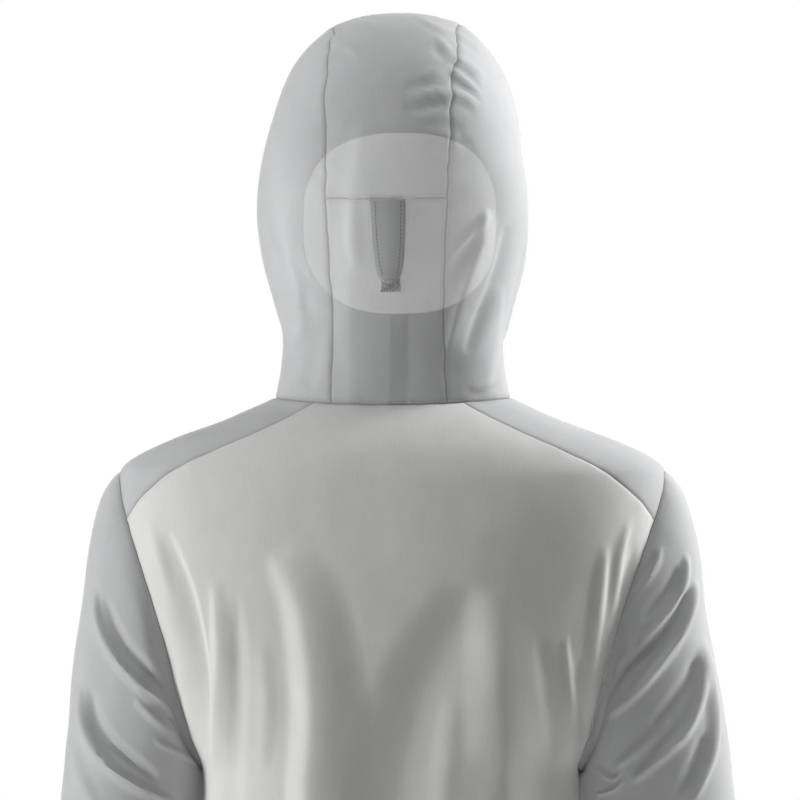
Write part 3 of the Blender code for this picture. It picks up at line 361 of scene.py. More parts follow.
CLOTH_WALL = 0.0010
CLOTH_GAP = 0.00004
# Extra lines of points close to each edge, as shares of the first and last cells.
EDGE_LINES = (0.12, 0.30, 0.55)
EDGE_ROLL = 0.0007
EDGE_ROLL_REACH = 0.0016
# Creases stop this far from the armhole and neck seams.
SEAM_FADE = 0.012
RIPPLE_SIZES = ((0.060, 0.0007), (0.022, 0.00028))
SEAM_DARK_LIMIT, PLAIN_DISTANCE = 0.03, 0.02
# Points of two panels closer than this are one point of a seam.
SAME_POINT = 0.00001

# Nothing of a seam's puckers or wandering is left this many of their reaches away.
FAR_REACHES = 4
# Height of the puckers along a seam, their length along it, and how far they reach.
PUCKERS = {
    "armhole": (0.00035, 0.011, 0.007),
    "yoke": (0.00030, 0.010, 0.006),
    "side": (0.00030, 0.012, 0.006),
    "neck": (0.00035, 0.009, 0.006),
    "cross": (0.00025, 0.010, 0.005),
    "zip": (0.00030, 0.012, 0.008),
    "hood_left": (0.00060, 0.011, 0.009),
    "hood_right": (0.00085, 0.012, 0.011),
}
# On the hood the puckers start at this level and have grown this far above it.
PUCKER_START, PUCKER_SPAN, PUCKER_LEAST = 0.10, 0.10, 0.35
# Where each seam cuts through the noise that makes its puckers, and its wandering.
PUCKER_CUT, WANDER_CUT = (7.3, 0.5), (3.1, 1.5)

# Lengths and sizes of the wandering of the hood's seams, how far it reaches, and where along
# the seam it grows.
WANDERS = ((0.022, 0.0030), (0.009, 0.0017))
WANDER_REACH = 0.012
WANDER_START, WANDER_SPAN, WANDER_LEAST = 0.15, 0.15, 0.35

# Depth and reach of the trench of the lower armhole seams, its top level and its slope.
TRENCH_DEPTH, TRENCH_REACH = 0.0042, 0.009
TRENCH_TOP, TRENCH_SPAN = -0.13, 0.09

# ---- Finishes ----

WARM_CLOTH = (0.60, 0.60, 0.585)
COOL_CLOTH = (0.565, 0.570, 0.577)
TRIM_GREY = (0.42, 0.42, 0.43)
METAL = (0.50, 0.50, 0.52)
TAB_CLOTH = (0.44, 0.445, 0.455)
THREAD_GREY = (0.50, 0.50, 0.50)
TAB_THREAD = (0.15, 0.15, 0.155)
LOOP_GREY = (0.30, 0.30, 0.305)
FIBRE_GREY = (0.78, 0.78, 0.785)
# How much light each face of the wall lets straight through.
WARM_CLEARNESS = 0.0
COOL_CLEARNESS = 0.43
CLOTH_SHEEN, TAPE_SHEEN, LOOP_SHEEN = 0.15, 0.1, 0.3
CLOTH_ROUGHNESS, SHEEN_ROUGHNESS, CLOTH_SPECULAR = 0.8, 0.5, 0.3
# Scale on each axis of the cloth, detail and roughness of its slubs and of its mottling.
SLUBS = ((900.0, 60.0, 1.0), 3.0, 0.6)
MOTTLING = ((38.0, 26.0, 1.0), 2.0, 0.5)
THREAD_PITCH = 0.0006
WAVE_LENGTH, WAVE_DISTORTION, WAVE_DETAIL = 0.314, 0.6, 1.0
WEAVE_STRENGTH = 0.25
WEAVE_DEPTH = 0.0002
# The part of a noise's values that is spread over a range of tones, and half that range.
SLUB_RANGE, NOISE_RANGE = (0.25, 0.75), (0.3, 0.7)
SLUB_TONE, MOTTLE_TONE = 0.035, 0.02
# Roughness, metallic share, scale and detail of the grain, its tones, the strength of its
# bump, and the roughness it varies between, if it does.
THREAD_GRAIN = (0.6, 0.0, (5200.0, 5200.0, 5200.0), 2.0, (0.9, 1.08), 0.3, None)
MOULDED_GRAIN = (0.42, 0.0, (700.0, 700.0, 700.0), 2.0, (0.93, 1.05), 0.1, None)
METAL_GRAIN = (0.34, 0.85, (2600.0, 2600.0, 260.0), 3.0, (0.9, 1.08), 0.08, (0.28, 0.42))
GRAIN_DEPTH = 0.0001
# Distances from a seam over which its dark line fades out, and over which the painted shade band of its
# allowance fades out. That band stands in for the light the doubled cloth there holds back.
SEAM_LINE = (0.0003, 0.0011)
SEAM_LINE_TONE = 0.62
SEAM_SHADE_BAND = (0.0035, 0.0045)
SEAM_SHADE_TONE = 0.95
SHARP_ANGLE = math.radians(55)

# ---- Stitches, tab, fastener and zip ----

STITCH_PITCH = 0.0034
STITCH_LENGTH = 0.0024
STITCH_RADIUS = 0.00024
STITCH_LIFT = 0.00004
# Sides and rings of the small rounded bars.
STITCH_SHAPE, TOOTH_SHAPE, FIBRE_SHAPE = (6, 3), (8, 4), (4, 2)
# For each row of stitches, its inset and the panel edges that it follows.
STITCHED_EDGES = {
    "hem_stitches": (0.020, (("back", "bottom"), ("front_left", "bottom"), ("front_right", "bottom"))),
    "cuff_stitches": (0.018, (("sleeve_left", "top"), ("sleeve_right", "top"))),
    "face_stitches": (
        0.012, (("hood_side_left", "top"), ("hood_side_right", "top"), ("hood_centre_upper", "top")),
    ),
    "neck_stitches": (
        0.0018,
        (("hood_side_left", "bottom"), ("hood_side_right", "bottom"), ("hood_centre_lower", "bottom")),
    ),
    "zip_stitches": (
        0.006,
        (("front_left", "right"), ("front_right", "left"),
         ("hood_side_left", "right"), ("hood_side_right", "left")),
    ),
}

# The tab in pixels of the photograph, from the cross seam down to its tip.
PIXEL_ORIGIN = (392.0, 402.0)
TAB_TOP, TAB_TIP = 198.3, 281.0
TAB_LEVELS = (198.3, 220.0, 244.0, 263.0, 272.0, 278.0, 281.0)
TAB_LEFTS = (368.5, 369.5, 371.0, 373.5, 376.0, 380.0, 386.0)
TAB_RIGHTS = (405.5, 405.5, 405.0, 403.5, 401.5, 398.5, 393.0)
TAB_GRID_ROWS, TAB_GRID_COLUMNS = 41, 19
TAB_LIFTS, TAB_LIFT_POWER = (0.0006, 0.0034), 1.5
TAB_BOW = 0.0012
TAB_WALL = 0.0012
TAB_ROLL, TAB_ROLL_REACH, TAB_INNER_ROLL = 0.0005, 0.0007, 0.3
TAB_STITCH_INSETS = {"left": 0.0042, "right": 0.0052}
TAB_STITCH_FOOT = 0.0035
TAB_STITCH_ROWS = 4
TAB_STITCH_CORNER = 3
FASTENER_LEFT, FASTENER_RIGHT = 381.5, 399.5
FASTENER_TOP, FASTENER_FOOT = 266.0, 290.5
FASTENER_GRID = (11, 9)
FASTENER_LIFT, FASTENER_WALL = 0.0003, 0.0009
FIBRE_SEED = 7
FIBRE_COUNT = 330
FIBRE_SIZE = (0.0014, 0.00032, 0.00032)
FIBRE_TOP = 280.0
FIBRE_SPILL = 1.3
FIBRE_LEAN = 0.9

TAPE_SINK = 0.0006
TAPE_WALL = 0.0009
TAPE_EDGE = 0.0004
TAPE_COLUMNS = 6
# Half width at which the line of the teeth is found; a ring has no angle at none.
TOOTH_LINE_HALF = 0.0001
TOOTH_PITCH = 0.0014
TOOTH_OFFSET = 0.0007
TOOTH_LIFT = -0.0003
TOOTH_SIZE = (0.0015, 0.00062, 0.0010)
# The open teeth above the slider.
PARTED_LENGTH, PARTED_OFFSET = 0.0075, 0.0022
ZIP_BOX_LENGTH = 0.0125
SLIDER_ROOM = 0.018
METAL_BEVEL, METAL_BEVEL_STEPS, METAL_BEVEL_PROFILE = 0.00022, 3, 0.6
# Points closer than this are welded; edges flatter than the first angle are dissolved,
# those sharper than the second are bevelled, and those past the third shade as sharp.
METAL_WELD = 0.000001
METAL_FLAT_ANGLE, METAL_EDGE_ANGLE, METAL_SHARP_ANGLE = (math.radians(a) for a in (2, 20, 40))
METAL_PIECES = (("zip_slider", "garment"), ("zip_pull", "zip_pull"), ("zip_box", "garment"))

# ---- Studio sizes ----

FLOOR_LEVEL = -1.45
FLOOR_HALF = 3.0
FLOOR_CORNERS = ((-1, -1), (1, -1), (1, 1), (-1, 1))
FLOOR_GREY, FLOOR_ROUGHNESS = (0.82, 0.82, 0.81), 0.9
BACKDROP_LEVEL = 1.0
# The room's brightness rises along this direction, about this level.
ROOM_SLOPE = (0.05, -0.20, 0.10)
ROOM_LEVEL, ROOM_LEAST = 0.17, 0.05
# name, place, size across and up, power in watts, and the point it is turned to
LIGHTS = (
    ("light_left", (2.5, 0.9, 0.5), (0.8, 1.8), 70.0, (0.0, 0.0, -0.05)),
    ("light_right", (-2.3, -0.85, 0.95), (0.7, 2.2), 125.0, (0.0, 0.0, -0.05)),
    ("light_top", (-0.9, 0.35, 2.4), (0.9, 0.9), 18.0, (0.0, 0.0, 0.0)),
    ("light_behind", (0.3, -2.6, 0.5), (2.4, 2.0), 12.0, (0.0, 0.0, -0.05)),
)


# ---- Reading the tables ----

def curve(places, values, at):
    """Smooth values at places between the rows of a table."""
    places, values, at = (np.asarray(item, float) for item in (places, values, at))
    rows = np.arange(len(places))
    low, high = np.maximum(rows - 1, 0), np.minimum(rows + 1, len(places) - 1)
    slopes = (values[high] - values[low]) / (places[high] - places[low])
    index = np.searchsorted(places[1:-1], at, side="left")
    span = places[index + 1] - places[index]
    t = (at - places[index]) / span
    start_share = 2 * t ** 3 - 3 * t ** 2 + 1
    return (
        start_share * values[index] + (1 - start_share) * values[index + 1]
        + (t ** 3 - 2 * t ** 2 + t) * slopes[index] * span
        + (t ** 3 - t ** 2) * slopes[index + 1] * span
    )


def read_ring(columns, rows, place):
    """Rings at places between the rows of a ring table, by column name."""
    table = np.array(rows)
    return SimpleNamespace(**{
        name: curve(table[:, 0], table[:, index], place) for index, name in enumerate(columns)
    })


def trunk_ring(level):
    return read_ring(RING_COLUMNS, TRUNK_RINGS, level)


def hood_ring(place):
    return read_ring(RING_COLUMNS, HOOD_RINGS, place)


def oval(angle, power):
    """Reach along and across of a unit oval at an angle from its outer end."""
    along, across = np.cos(angle), np.sin(angle)
    size = (np.abs(along) ** power + np.abs(across) ** power) ** (-1 / power)
    return along * size, across * size


def ring_points(ring, angle):
    """Points of rings: angle 0 is the outer end, 90 degrees +X, 180 the inner end."""
    along, across = oval(angle, ring.squareness)
    end_y = np.where(along >= 0, ring.outer_y, ring.inner_y)
    end_z = np.where(along >= 0, ring.outer_z, ring.inner_z)
    reach = np.abs(along)
    return np.stack((
        ring.half_width * across,
        ring.side_y + (end_y - ring.side_y) * reach,
        ring.side_z + (end_z - ring.side_z) * reach ** ring.dip,
    ), axis=-1)


def ring_angle(ring, x):
    """Angle from its outer end at which a ring has the width x."""
    across = x / ring.half_width
    along = (1 - np.abs(across) ** ring.squareness) ** (1 / ring.squareness)
    return np.arctan2(across, along)


def trunk_points(spots):
    """Points of the trunk at spots, which are angle and level."""
    return ring_points(trunk_ring(spots[..., 1]), spots[..., 0])


def steps(start, end, count):
    return np.linspace(start, end, count + 1)


def running(points, axis=0):
    """Running length along a line of points, or along one axis of a grid, from 0."""
    runs = np.linalg.norm(np.diff(points, axis=axis), axis=-1)
    start = np.zeros_like(runs.take([0], axis))
    return np.concatenate((start, np.cumsum(runs, axis=axis)), axis=axis)


def smooth(value):
    """Soft step from 0 to 1."""
    value = np.clip(value, 0.0, 1.0)
    return value * value * (3 - 2 * value)


# ---- Seam lines on the trunk, as rows of angle and level ----

def armhole(start, end, count, front):
    """Part of an edge of the armhole: share 0 is the armpit, 1 the tip of the shoulder."""
    swing = ARMHOLE_FRONT_SWING if front else -ARMHOLE_BACK_SWING
    height = (1 - np.cos(np.pi * steps(start, end, count * FINE))) / 2
    level = PIT_LEVEL + (TIP_LEVEL - PIT_LEVEL) * height
    bow = np.maximum(np.sin(np.pi * height), 0.0) ** ARMHOLE_ROUNDING
    return np.stack((SIDE + swing * bow, level), axis=-1)


def spot_seen_at(x, z, front):
    """Spot of the trunk that is seen square on at x and z."""
    level = z
    for _ in range(SEAM_SEARCH_TURNS):
        angle = ring_angle(trunk_ring(level), x)
        angle = math.pi - angle if front else angle
        level += SEAM_SEARCH_STEP * (z - trunk_points(np.array((angle, level)))[2])
        level = min(max(level, HEM_LEVEL), NECK_LEVEL)
    return (angle, level)


def neck_angle(x, front=False):
    angle = ring_angle(trunk_ring(NECK_LEVEL), x)
    return math.pi - angle if front else angle


def yoke_seam(front):
    """Seam of the left yoke, from the armhole up to the neck."""
    seen, neck_half = YOKE_SEAMS[front]
    spots = [armhole(0.0, YOKE_CORNER, 1, front)[-1]]
    spots += [spot_seen_at(x, z, front) for x, z in reversed(seen)]
    spots.append((neck_angle(neck_half, front), NECK_LEVEL))
    spots = np.array(spots)
    lengths = running(trunk_points(spots))
    at = steps(0.0, lengths[-1], YOKE_SEAM_STEPS * FINE)
    return np.stack([curve(lengths, spots[:, axis], at) for axis in (0, 1)], axis=-1)


def zip_levels():
    """Levels of the rows along the front edge of the trunk."""
    lower = steps(HEM_LEVEL, PIT_LEVEL, SIDE_STEPS * FINE)
    return np.concatenate((lower[:-1], steps(PIT_LEVEL, NECK_LEVEL, ARMHOLE_STEPS * FINE)))


def zip_spots(levels):
    """Spots on the trunk along the left edge of the zip opening."""
    return np.stack((math.pi - ring_angle(trunk_ring(levels), ZIP_OPENING_HALF), levels), axis=-1)


def strip_shares():
    """Columns of the hood's centre strip, as shares of its half width."""
    coarse = np.arange(len(HOOD_STRIP_SHARES))
    return np.interp(steps(0, coarse[-1], coarse[-1] * FINE), coarse, HOOD_STRIP_SHARES)


def neck_back_angles():
    """Angles along the back neck, from the right yoke seam to the left one."""
    strip = neck_angle(strip_shares() * HOOD_STRIP_HALVES[0])
    yoke = neck_angle(YOKE_NECK_HALF)
    gap = steps(strip[-1], yoke, FINE)[1:]
    return np.concatenate((-gap[::-1], strip, gap))


def neck_yoke_angles():
    ends = neck_angle(YOKE_NECK_HALF), neck_angle(YOKE_FRONT_NECK_HALF, True)
    return steps(*ends, YOKE_ARMHOLE_STEPS * FINE)


def neck_front_angles():
    inner = zip_spots(np.array([NECK_LEVEL]))[0, 0]
    return steps(neck_angle(YOKE_FRONT_NECK_HALF, True), inner, FRONT_NECK_STEPS * FINE)


def at_level(angles, level):
    """Spots of the trunk at one level."""
    return np.stack((angles, np.full_like(angles, level)), axis=-1)


# ---- Panels ----

def fill_patch(bottom, top, left, right, level_rows=0):
    """Grid of spots inside four edges; its first rows keep the shape of the bottom edge."""
    across = np.linspace(0, 1, len(bottom))[None, :, None]
    rows = len(left) - 1
    up = (np.maximum(np.arange(rows + 1) - level_rows, 0) / (rows - level_rows))[:, None, None]

    def bend(edge):
        return edge - (1 - across[0]) * edge[0] - across[0] * edge[-1]

    grid = (
        (1 - across) * left[:, None] + across * right[:, None]
        + (1 - up) * bend(bottom)[None] + up * bend(top)[None]
    )
    grid[:, 0], grid[:, -1] = left, right
    grid[0], grid[-1] = bottom, top
    return grid


def mirrored(spots):
    """Spots of the trunk, turned over to the other side."""
    return spots * np.array((-1.0, 1.0))


def make_panel(name, points, region, slot_name, closed=False):
    """A panel: rows of points, with the outside where up x right points."""
    return SimpleNamespace(name=name, points=points, region=region, slot=slot_name, closed=closed)


def mirror_panel(panel, name):
    """A panel turned over to the other side; its rows run the other way round."""
    points = panel.points[:, ::-1] * np.array((-1.0, 1.0, 1.0))
    return make_panel(name, points, panel.region, panel.slot, panel.closed)


def side_edge(armhole_part):
    """Side seam from the hem to the armpit, then the armhole up to the yoke."""
    seam = at_level(np.full(SIDE_STEPS * FINE, SIDE), 0.0)
    seam[:, 1] = steps(HEM_LEVEL, PIT_LEVEL, SIDE_STEPS * FINE)[:-1]
    return np.concatenate((seam, armhole_part))


def back_panel():
    seam = yoke_seam(False)
    neck = at_level(neck_back_angles(), NECK_LEVEL)
    top = np.concatenate((mirrored(seam)[:-1], neck, seam[::-1][1:]))
    bottom = at_level(steps(-SIDE, SIDE, len(top) - 1), HEM_LEVEL)
    left = side_edge(armhole(0.0, YOKE_CORNER, ARMHOLE_STEPS, False))
    grid = fill_patch(bottom, top, mirrored(left), left, SIDE_STEPS * FINE)
    return make_panel("back", trunk_points(grid), "trunk", "warm_cloth")


def front_left_panel():
    top = np.concatenate((yoke_seam(True)[:-1], at_level(neck_front_angles(), NECK_LEVEL)))
    outer = side_edge(armhole(0.0, YOKE_CORNER, ARMHOLE_STEPS, True))
    inner = zip_spots(zip_levels())
    under_yoke = steps(SIDE, neck_angle(YOKE_FRONT_NECK_HALF, True), YOKE_SEAM_STEPS * FINE)
    under_neck = steps(under_yoke[-1], inner[0, 0], FRONT_NECK_STEPS * FINE)
    bottom = at_level(np.concatenate((under_yoke[:-1], under_neck)), HEM_LEVEL)
    grid = fill_patch(bottom, top, outer, inner, SIDE_STEPS * FINE)
    return make_panel("front_left", trunk_points(grid), "trunk", "warm_cloth")


def yoke_left_panel():
    half = YOKE_ARMHOLE_STEPS // 2
    over_back = armhole(YOKE_CORNER, 1.0, half, False)
    over_front = armhole(YOKE_CORNER, 1.0, half, True)[::-1]
    bottom = np.concatenate((over_back[:-1], over_front))
    top = at_level(neck_yoke_angles(), NECK_LEVEL)
    grid = fill_patch(bottom, top, yoke_seam(False), yoke_seam(True))
    return make_panel("yoke_left", trunk_points(grid), "trunk", "cool_cloth")


def armhole_loop():
    """Points of the left armhole: armpit, up the front, shoulder tip, down the back."""
    half = YOKE_ARMHOLE_STEPS // 2
    front, back = (
        np.concatenate((
            armhole(0.0, YOKE_CORNER, ARMHOLE_STEPS, side)[:-1], armhole(YOKE_CORNER, 1.0, half, side),
        )) for side in (True, False)
    )
    return trunk_points(np.concatenate((front, back[::-1][1:-1])))


def sleeve_points(place, turn, right_arm):
    """Points of plain sleeve rings, on the left: turn 0 is under the arm, a quarter the front."""
    ring = read_ring(SLEEVE_COLUMNS, SLEEVE_RINGS, place)
    ring.inner_x = ring.inner_x - np.interp(place, SLEEVE_REST_PLACES, SLEEVE_REST)
    if right_arm:
        ring.outer_x = ring.outer_x + curve(RIGHT_ARM_PLACES, RIGHT_ARM_OUTER, place)
        ring.inner_x = ring.inner_x + curve(RIGHT_ARM_PLACES, RIGHT_ARM_INNER, place)
    along, across = oval(2 * math.pi * turn, ring.squareness)
    share = (1 - along) / 2
    return np.stack((
        ring.inner_x + (ring.outer_x - ring.inner_x) * share,
        ring.middle_y - ring.half_depth * across,
        ring.inner_z + (ring.outer_z - ring.inner_z) * share,
    ), axis=-1)


def sleeve_panel(name, right_arm):
    """A sleeve on the left side; the right one is turned over afterwards."""
    loop = armhole_loop()
    turns = (np.arange(len(loop)) / len(loop))[None]
    places = steps(0.0, 1.0, SLEEVE_STEPS * SLEEVE_FINE)[:, None]
    keep = smooth(1 - places / SLEEVE_BLEND)[..., None]
    start = sleeve_points(np.zeros((1, 1)), turns, right_arm)
    points = sleeve_points(places, turns, right_arm) + keep * (loop[None] - start)
    return make_panel(name, points, "sleeve", "cool_cloth", closed=True)


def hood_places():
    lower = steps(0.0, HOOD_SPLIT, HOOD_LOWER_STEPS * FINE)
    return np.concatenate((lower, steps(HOOD_SPLIT, 1.0, HOOD_UPPER_STEPS * FINE)[1:]))


def hood_strip_half(place):
    """Half width of the hood's centre strip at places along the hood."""
    return curve(HOOD_STRIP_PLACES, HOOD_STRIP_HALVES, place)


def hood_centre_panels():
    """The two strips of the hood's middle, below and above the cross seam."""
    places = hood_places()[:, None]
    shares = strip_shares()[None]
    # The cross seam is pulled straight, so its middle lies lower than the ring there.
    near = np.exp(-((places - HOOD_SPLIT) / CROSS_REACH) ** 2)
    places = places - CROSS_SAG * (1 - shares ** 2) * near
    ring = hood_ring(places)
    angles = ring_angle(ring, shares * hood_strip_half(places))
    points = ring_points(ring, angles)
    split = HOOD_LOWER_STEPS * FINE
    return [
        make_panel("hood_centre_lower", points[:split + 1], "hood", "cool_cloth"),
        make_panel("hood_centre_upper", points[split:], "hood", "cool_cloth"),
    ]


def hood_side_left_panel():
    gap = neck_back_angles()[-FINE - 1:]
    neck = np.concatenate((gap, neck_yoke_angles()[1:], neck_front_angles()[1:]))
    neck_shares = (neck - neck[0]) / (neck[-1] - neck[0])
    places = hood_places()[:, None]
    ring = hood_ring(places)
    start = ring_angle(ring, hood_strip_half(places))
    end = math.pi - ring_angle(ring, ZIP_OPENING_HALF)
    even = np.minimum(places / HOOD_EVEN_PLACE, 1.0)
    shares = (1 - even) * neck_shares[None] + even * np.linspace(0, 1, len(neck))[None]
    points = ring_points(ring, start + (end - start) * shares)
    return make_panel("hood_side_left", points, "hood", "cool_cloth")


def cloth_panels():
    left = [front_left_panel(), yoke_left_panel(), hood_side_left_panel()]
    right = [mirror_panel(panel, panel.name.replace("left", "right")) for panel in left]
    sleeves = [
        sleeve_panel("sleeve_left", False),
        mirror_panel(sleeve_panel("sleeve_right", True), "sleeve_right"),
    ]
    return [back_panel()] + left + right + sleeves + hood_centre_panels()


def lean_hood(panels):
    """Let the top of the hood lean to the wearer's right."""
    for panel in panels:
        if panel.region == "hood":
            height = (panel.points[..., 2] - HOOD_LEAN_START) / (HOOD_LEAN_END - HOOD_LEAN_START)
            panel.points[..., 0] -= HOOD_LEAN * np.maximum(height, 0.0) ** 2


# ---- Normals, creases and ripples ----

def unit(vectors):
    return vectors / np.maximum(np.linalg.norm(vectors, axis=-1, keepdims=True), 1e-12)


def grid_normals(points, closed):
    """Summed face normals at each point of a panel, not yet of unit length."""
    if closed:
        points = np.concatenate((points, points[:, :1]), axis=1)
    up = points[1:, :-1] + points[1:, 1:] - points[:-1, :-1] - points[:-1, 1:]
    right = points[:-1, 1:] + points[1:, 1:] - points[:-1, :-1] - points[1:, :-1]
    normal = np.cross(up, right)
    sums = np.zeros_like(points)
    for j in (slice(None, -1), slice(1, None)):
        for i in (slice(None, -1), slice(1, None)):
            sums[j, i] += normal
    if closed:
        sums[:, 0] += sums[:, -1]
        sums = sums[:, :-1]
    return sums


def edge_mask(panel):
    """Which points of a panel lie on one of its edges."""
    mask = np.zeros(panel.points.shape[:2], bool)
    mask[0] = mask[-1] = True
    if not panel.closed:
        mask[:, 0] = mask[:, -1] = True
    return mask


def point_tree(points):
    """Search tree of a list of points."""
    tree = KDTree(len(points))
    for index, point in enumerate(points):
        tree.insert(point, index)
    tree.balance()
    return tree


def share_normals(panels):
    """Give each panel its unit normals, alike on both sides of a seam."""
    for panel in panels:
        panel.normals = grid_normals(panel.points, panel.closed)
        panel.own = unit(panel.normals)
        panel.edge = edge_mask(panel)
    points = np.concatenate([panel.points[panel.edge] for panel in panels])
    sums = np.concatenate([panel.normals[panel.edge] for panel in panels])
    tree = point_tree(points)
    shared = np.empty_like(sums)
    for index, point in enumerate(points):
        found = [item[1] for item in tree.find_range(point, SAME_POINT)]
        shared[index] = sums[found].sum(axis=0)
    start = 0
    for panel in panels:
        count = int(panel.edge.sum())
        panel.normals[panel.edge] = shared[start:start + count]
        panel.normals = unit(panel.normals)
        start += count


def smooth_line(line, count):
    """Even points on the smooth line through a few points."""
    line = np.array(line, float)
    lengths = running(line)
    at = steps(0.0, lengths[-1], count)
    return np.stack([curve(lengths, line[:, axis], at) for axis in range(line.shape[1])], axis=-1)


def crease_lift(plane, line, reaches, height):
    """Lift of one crease at points given in the plane of its view."""
    line = smooth_line(line, CREASE_SAMPLES)
    wide = max(reaches)
    near = np.flatnonzero(
        ((plane > line.min(axis=0) - wide) & (plane < line.max(axis=0) + wide)).all(axis=1)
    )
    lift = np.zeros(len(plane))
    offset = plane[near][:, None] - line[None, :-1]
    runs = np.diff(line, axis=0)[None]
    share = np.clip((offset * runs).sum(-1) / (runs * runs).sum(-1), 0.0, 1.0)
    away = np.linalg.norm(offset - share[..., None] * runs, axis=-1)
    best = away.argmin(axis=1)
    rows = np.arange(len(near))
    side = runs[0, best, 0] * offset[rows, best, 1] - runs[0, best, 1] * offset[rows, best, 0]
    along = (best + share[rows, best]) / CREASE_SAMPLES
    fade = np.sqrt(np.maximum(4 * along * (1 - along), 0.0))
    reach = np.where(side > 0, *reaches) * (CREASE_END_REACH + (1 - CREASE_END_REACH) * fade)
    across = np.clip(1 - (away[rows, best] / np.maximum(reach, 1e-6)) ** CREASE_POWER, 0.0, 1.0) ** 2
    lift[near] = height * across * fade
    return lift


def seen_plane(points, normals, view):
    """Points in the plane of a view, and how squarely the cloth faces that view."""
    if view == "back":
        rel = points - CAMERA_PLACE
        scale = CAMERA_DISTANCE / (rel @ VIEW_FORWARD)
        across = VIEW_CENTRE[0] + (rel @ VIEW_RIGHT) * scale
        return np.stack((across, VIEW_CENTRE[1] + rel[:, 2] * scale), axis=-1), normals @ -VIEW_FORWARD
    turned = normals[:, 1] if view == "plain" else -normals[:, 1]
    return points[:, (0, 2)], turned


def crease_lifts(points, normals, region):
    """Lift of all the creases of a region."""
    total = np.zeros(len(points))
    for view in ("back", "plain", "front"):
        plane, turned = seen_plane(points, normals, view)
        rule = TRUNK_TURN * turned - TRUNK_CUT if region == "trunk" else turned / SLEEVE_TURN
        faces = np.clip(rule, 0.0, 1.0)
        for first, second, height, *line in CREASES.get((region, view), ()):
            line = np.array(line).reshape(-1, 2) * MM
            total += faces * crease_lift(plane, line, (first * MM, second * MM), height * MM)
    return total


def ripple_lifts(points):
    """Low, soft unevenness all over the cloth."""
    total = np.zeros(len(points))
    for size, height in RIPPLE_SIZES:
        scaled = (points / size).tolist()
        total += height * np.array([noise.noise(place) for place in scaled])
    return total


# ---- Seams: lines with puckers, from which every point has its distance ----

def seam_lines(panels):
    """Named lines of points along the seams, from the panels before they are creased."""
    by_name = {panel.name: panel.points for panel in panels}
    lines = {}
    for side in ("left", "right"):
        flip = side == "right"
        yoke, front = by_name["yoke_" + side], by_name["front_" + side]
        lines["armhole_" + side] = by_name["sleeve_" + side][0]
        lines["yoke_back_" + side] = yoke[:, -1 if flip else 0]
        lines["yoke_front_" + side] = yoke[:, 0 if flip else -1]
        lines["side_" + side] = front[:SIDE_STEPS * FINE, -1 if flip else 0]
        lines["hood_" + side] = by_name["hood_side_" + side][:, -1 if flip else 0]
        lines["zip_" + side] = np.concatenate([
            by_name[name + side][:, 0 if flip else -1] for name in ("front_", "hood_side_")
        ])
    lines["neck"] = np.concatenate([
        by_name["hood_side_right"][0], by_name["hood_centre_lower"][0], by_name["hood_side_left"][0],
    ])
    lines["cross"] = by_name["hood_centre_upper"][0]
    return lines


def seam_fields(panels, lines):
    """Nearest seam, its distance and the place along it, for every point."""
    names = list(lines)
    spots = np.concatenate([lines[name] for name in names])
    owner = np.concatenate([np.full(len(lines[name]), index) for index, name in enumerate(names)])
    lengths = np.concatenate([running(lines[name]) for name in names])
    stops = point_tree(np.concatenate([
        lines[name] for name in names if name.startswith(("armhole", "neck", "zip"))
    ]))
    tree = point_tree(spots)
    for panel in panels:
        flat = panel.points.reshape(-1, 3)
        found = np.array([tree.find(point)[1:] for point in flat])
        index = found[:, 0].astype(int)
        shape = panel.points.shape[:2]
        panel.seam = owner[index].reshape(shape)
        panel.seam_place = lengths[index].reshape(shape)
        panel.seam_distance = found[:, 1].reshape(shape)
        panel.stop_distance = np.array([stops.find(point)[2] for point in flat]).reshape(shape)
    return names


def seam_noise(places, index, cut):
    """Noise along a seam, different for every seam and use."""
    return np.array([noise.noise((place, cut[0] * index, cut[1])) for place in places])


def pucker_lifts(panel, names):
    """Small waves across each seam, which fade out away from it."""
    total = np.zeros(panel.seam.shape)
    for index, name in enumerate(names):
        height, length, reach = PUCKERS.get(name) or PUCKERS[name.split("_")[0]]
        mask = (panel.seam == index) & (panel.seam_distance < FAR_REACHES * reach)
        places = panel.seam_place[mask] / length
        wave = seam_noise(places, index, PUCKER_CUT)
        if name.startswith("hood"):
            height_share = (panel.points[mask][:, 2] - PUCKER_START) / PUCKER_SPAN
            wave = wave * np.clip(height_share, PUCKER_LEAST, 1.0)
        total[mask] = height * 2 * wave * np.exp(-(panel.seam_distance[mask] / reach) ** 2)
    return total


def wander_seams(panels, names):
    """Let the hood's two long seams run a little unevenly, more so towards the crown."""
    hood_seams = [index for index, name in enumerate(names) if name.startswith("hood")]
    for panel in (item for item in panels if item.region == "hood"):
        for index in hood_seams:
            mask = (panel.seam == index) & (panel.seam_distance < FAR_REACHES * WANDER_REACH)
            places = panel.seam_place[mask]
            wave = sum(
                share * seam_noise(places / length, index, WANDER_CUT) for length, share in WANDERS
            )
            grown = smooth((places - WANDER_START) / WANDER_SPAN)
            crown = WANDER_LEAST + (1 - WANDER_LEAST) * grown
            near = np.exp(-(panel.seam_distance[mask] / WANDER_REACH) ** 2)
            panel.points[mask, 0] += wave * crown * near


def trench_lifts(panel, names):
    """The lower armhole seams lie in a trench between the trunk and the sleeve."""
    total = np.zeros(panel.seam.shape)
    armholes = [index for index, name in enumerate(names) if name.startswith("armhole")]
    mask = np.isin(panel.seam, armholes)
    depth = TRENCH_DEPTH * smooth((TRENCH_TOP - panel.points[..., 2]) / TRENCH_SPAN)
    total[mask] = -(depth * np.exp(-(panel.seam_distance / TRENCH_REACH) ** 2))[mask]
    return total


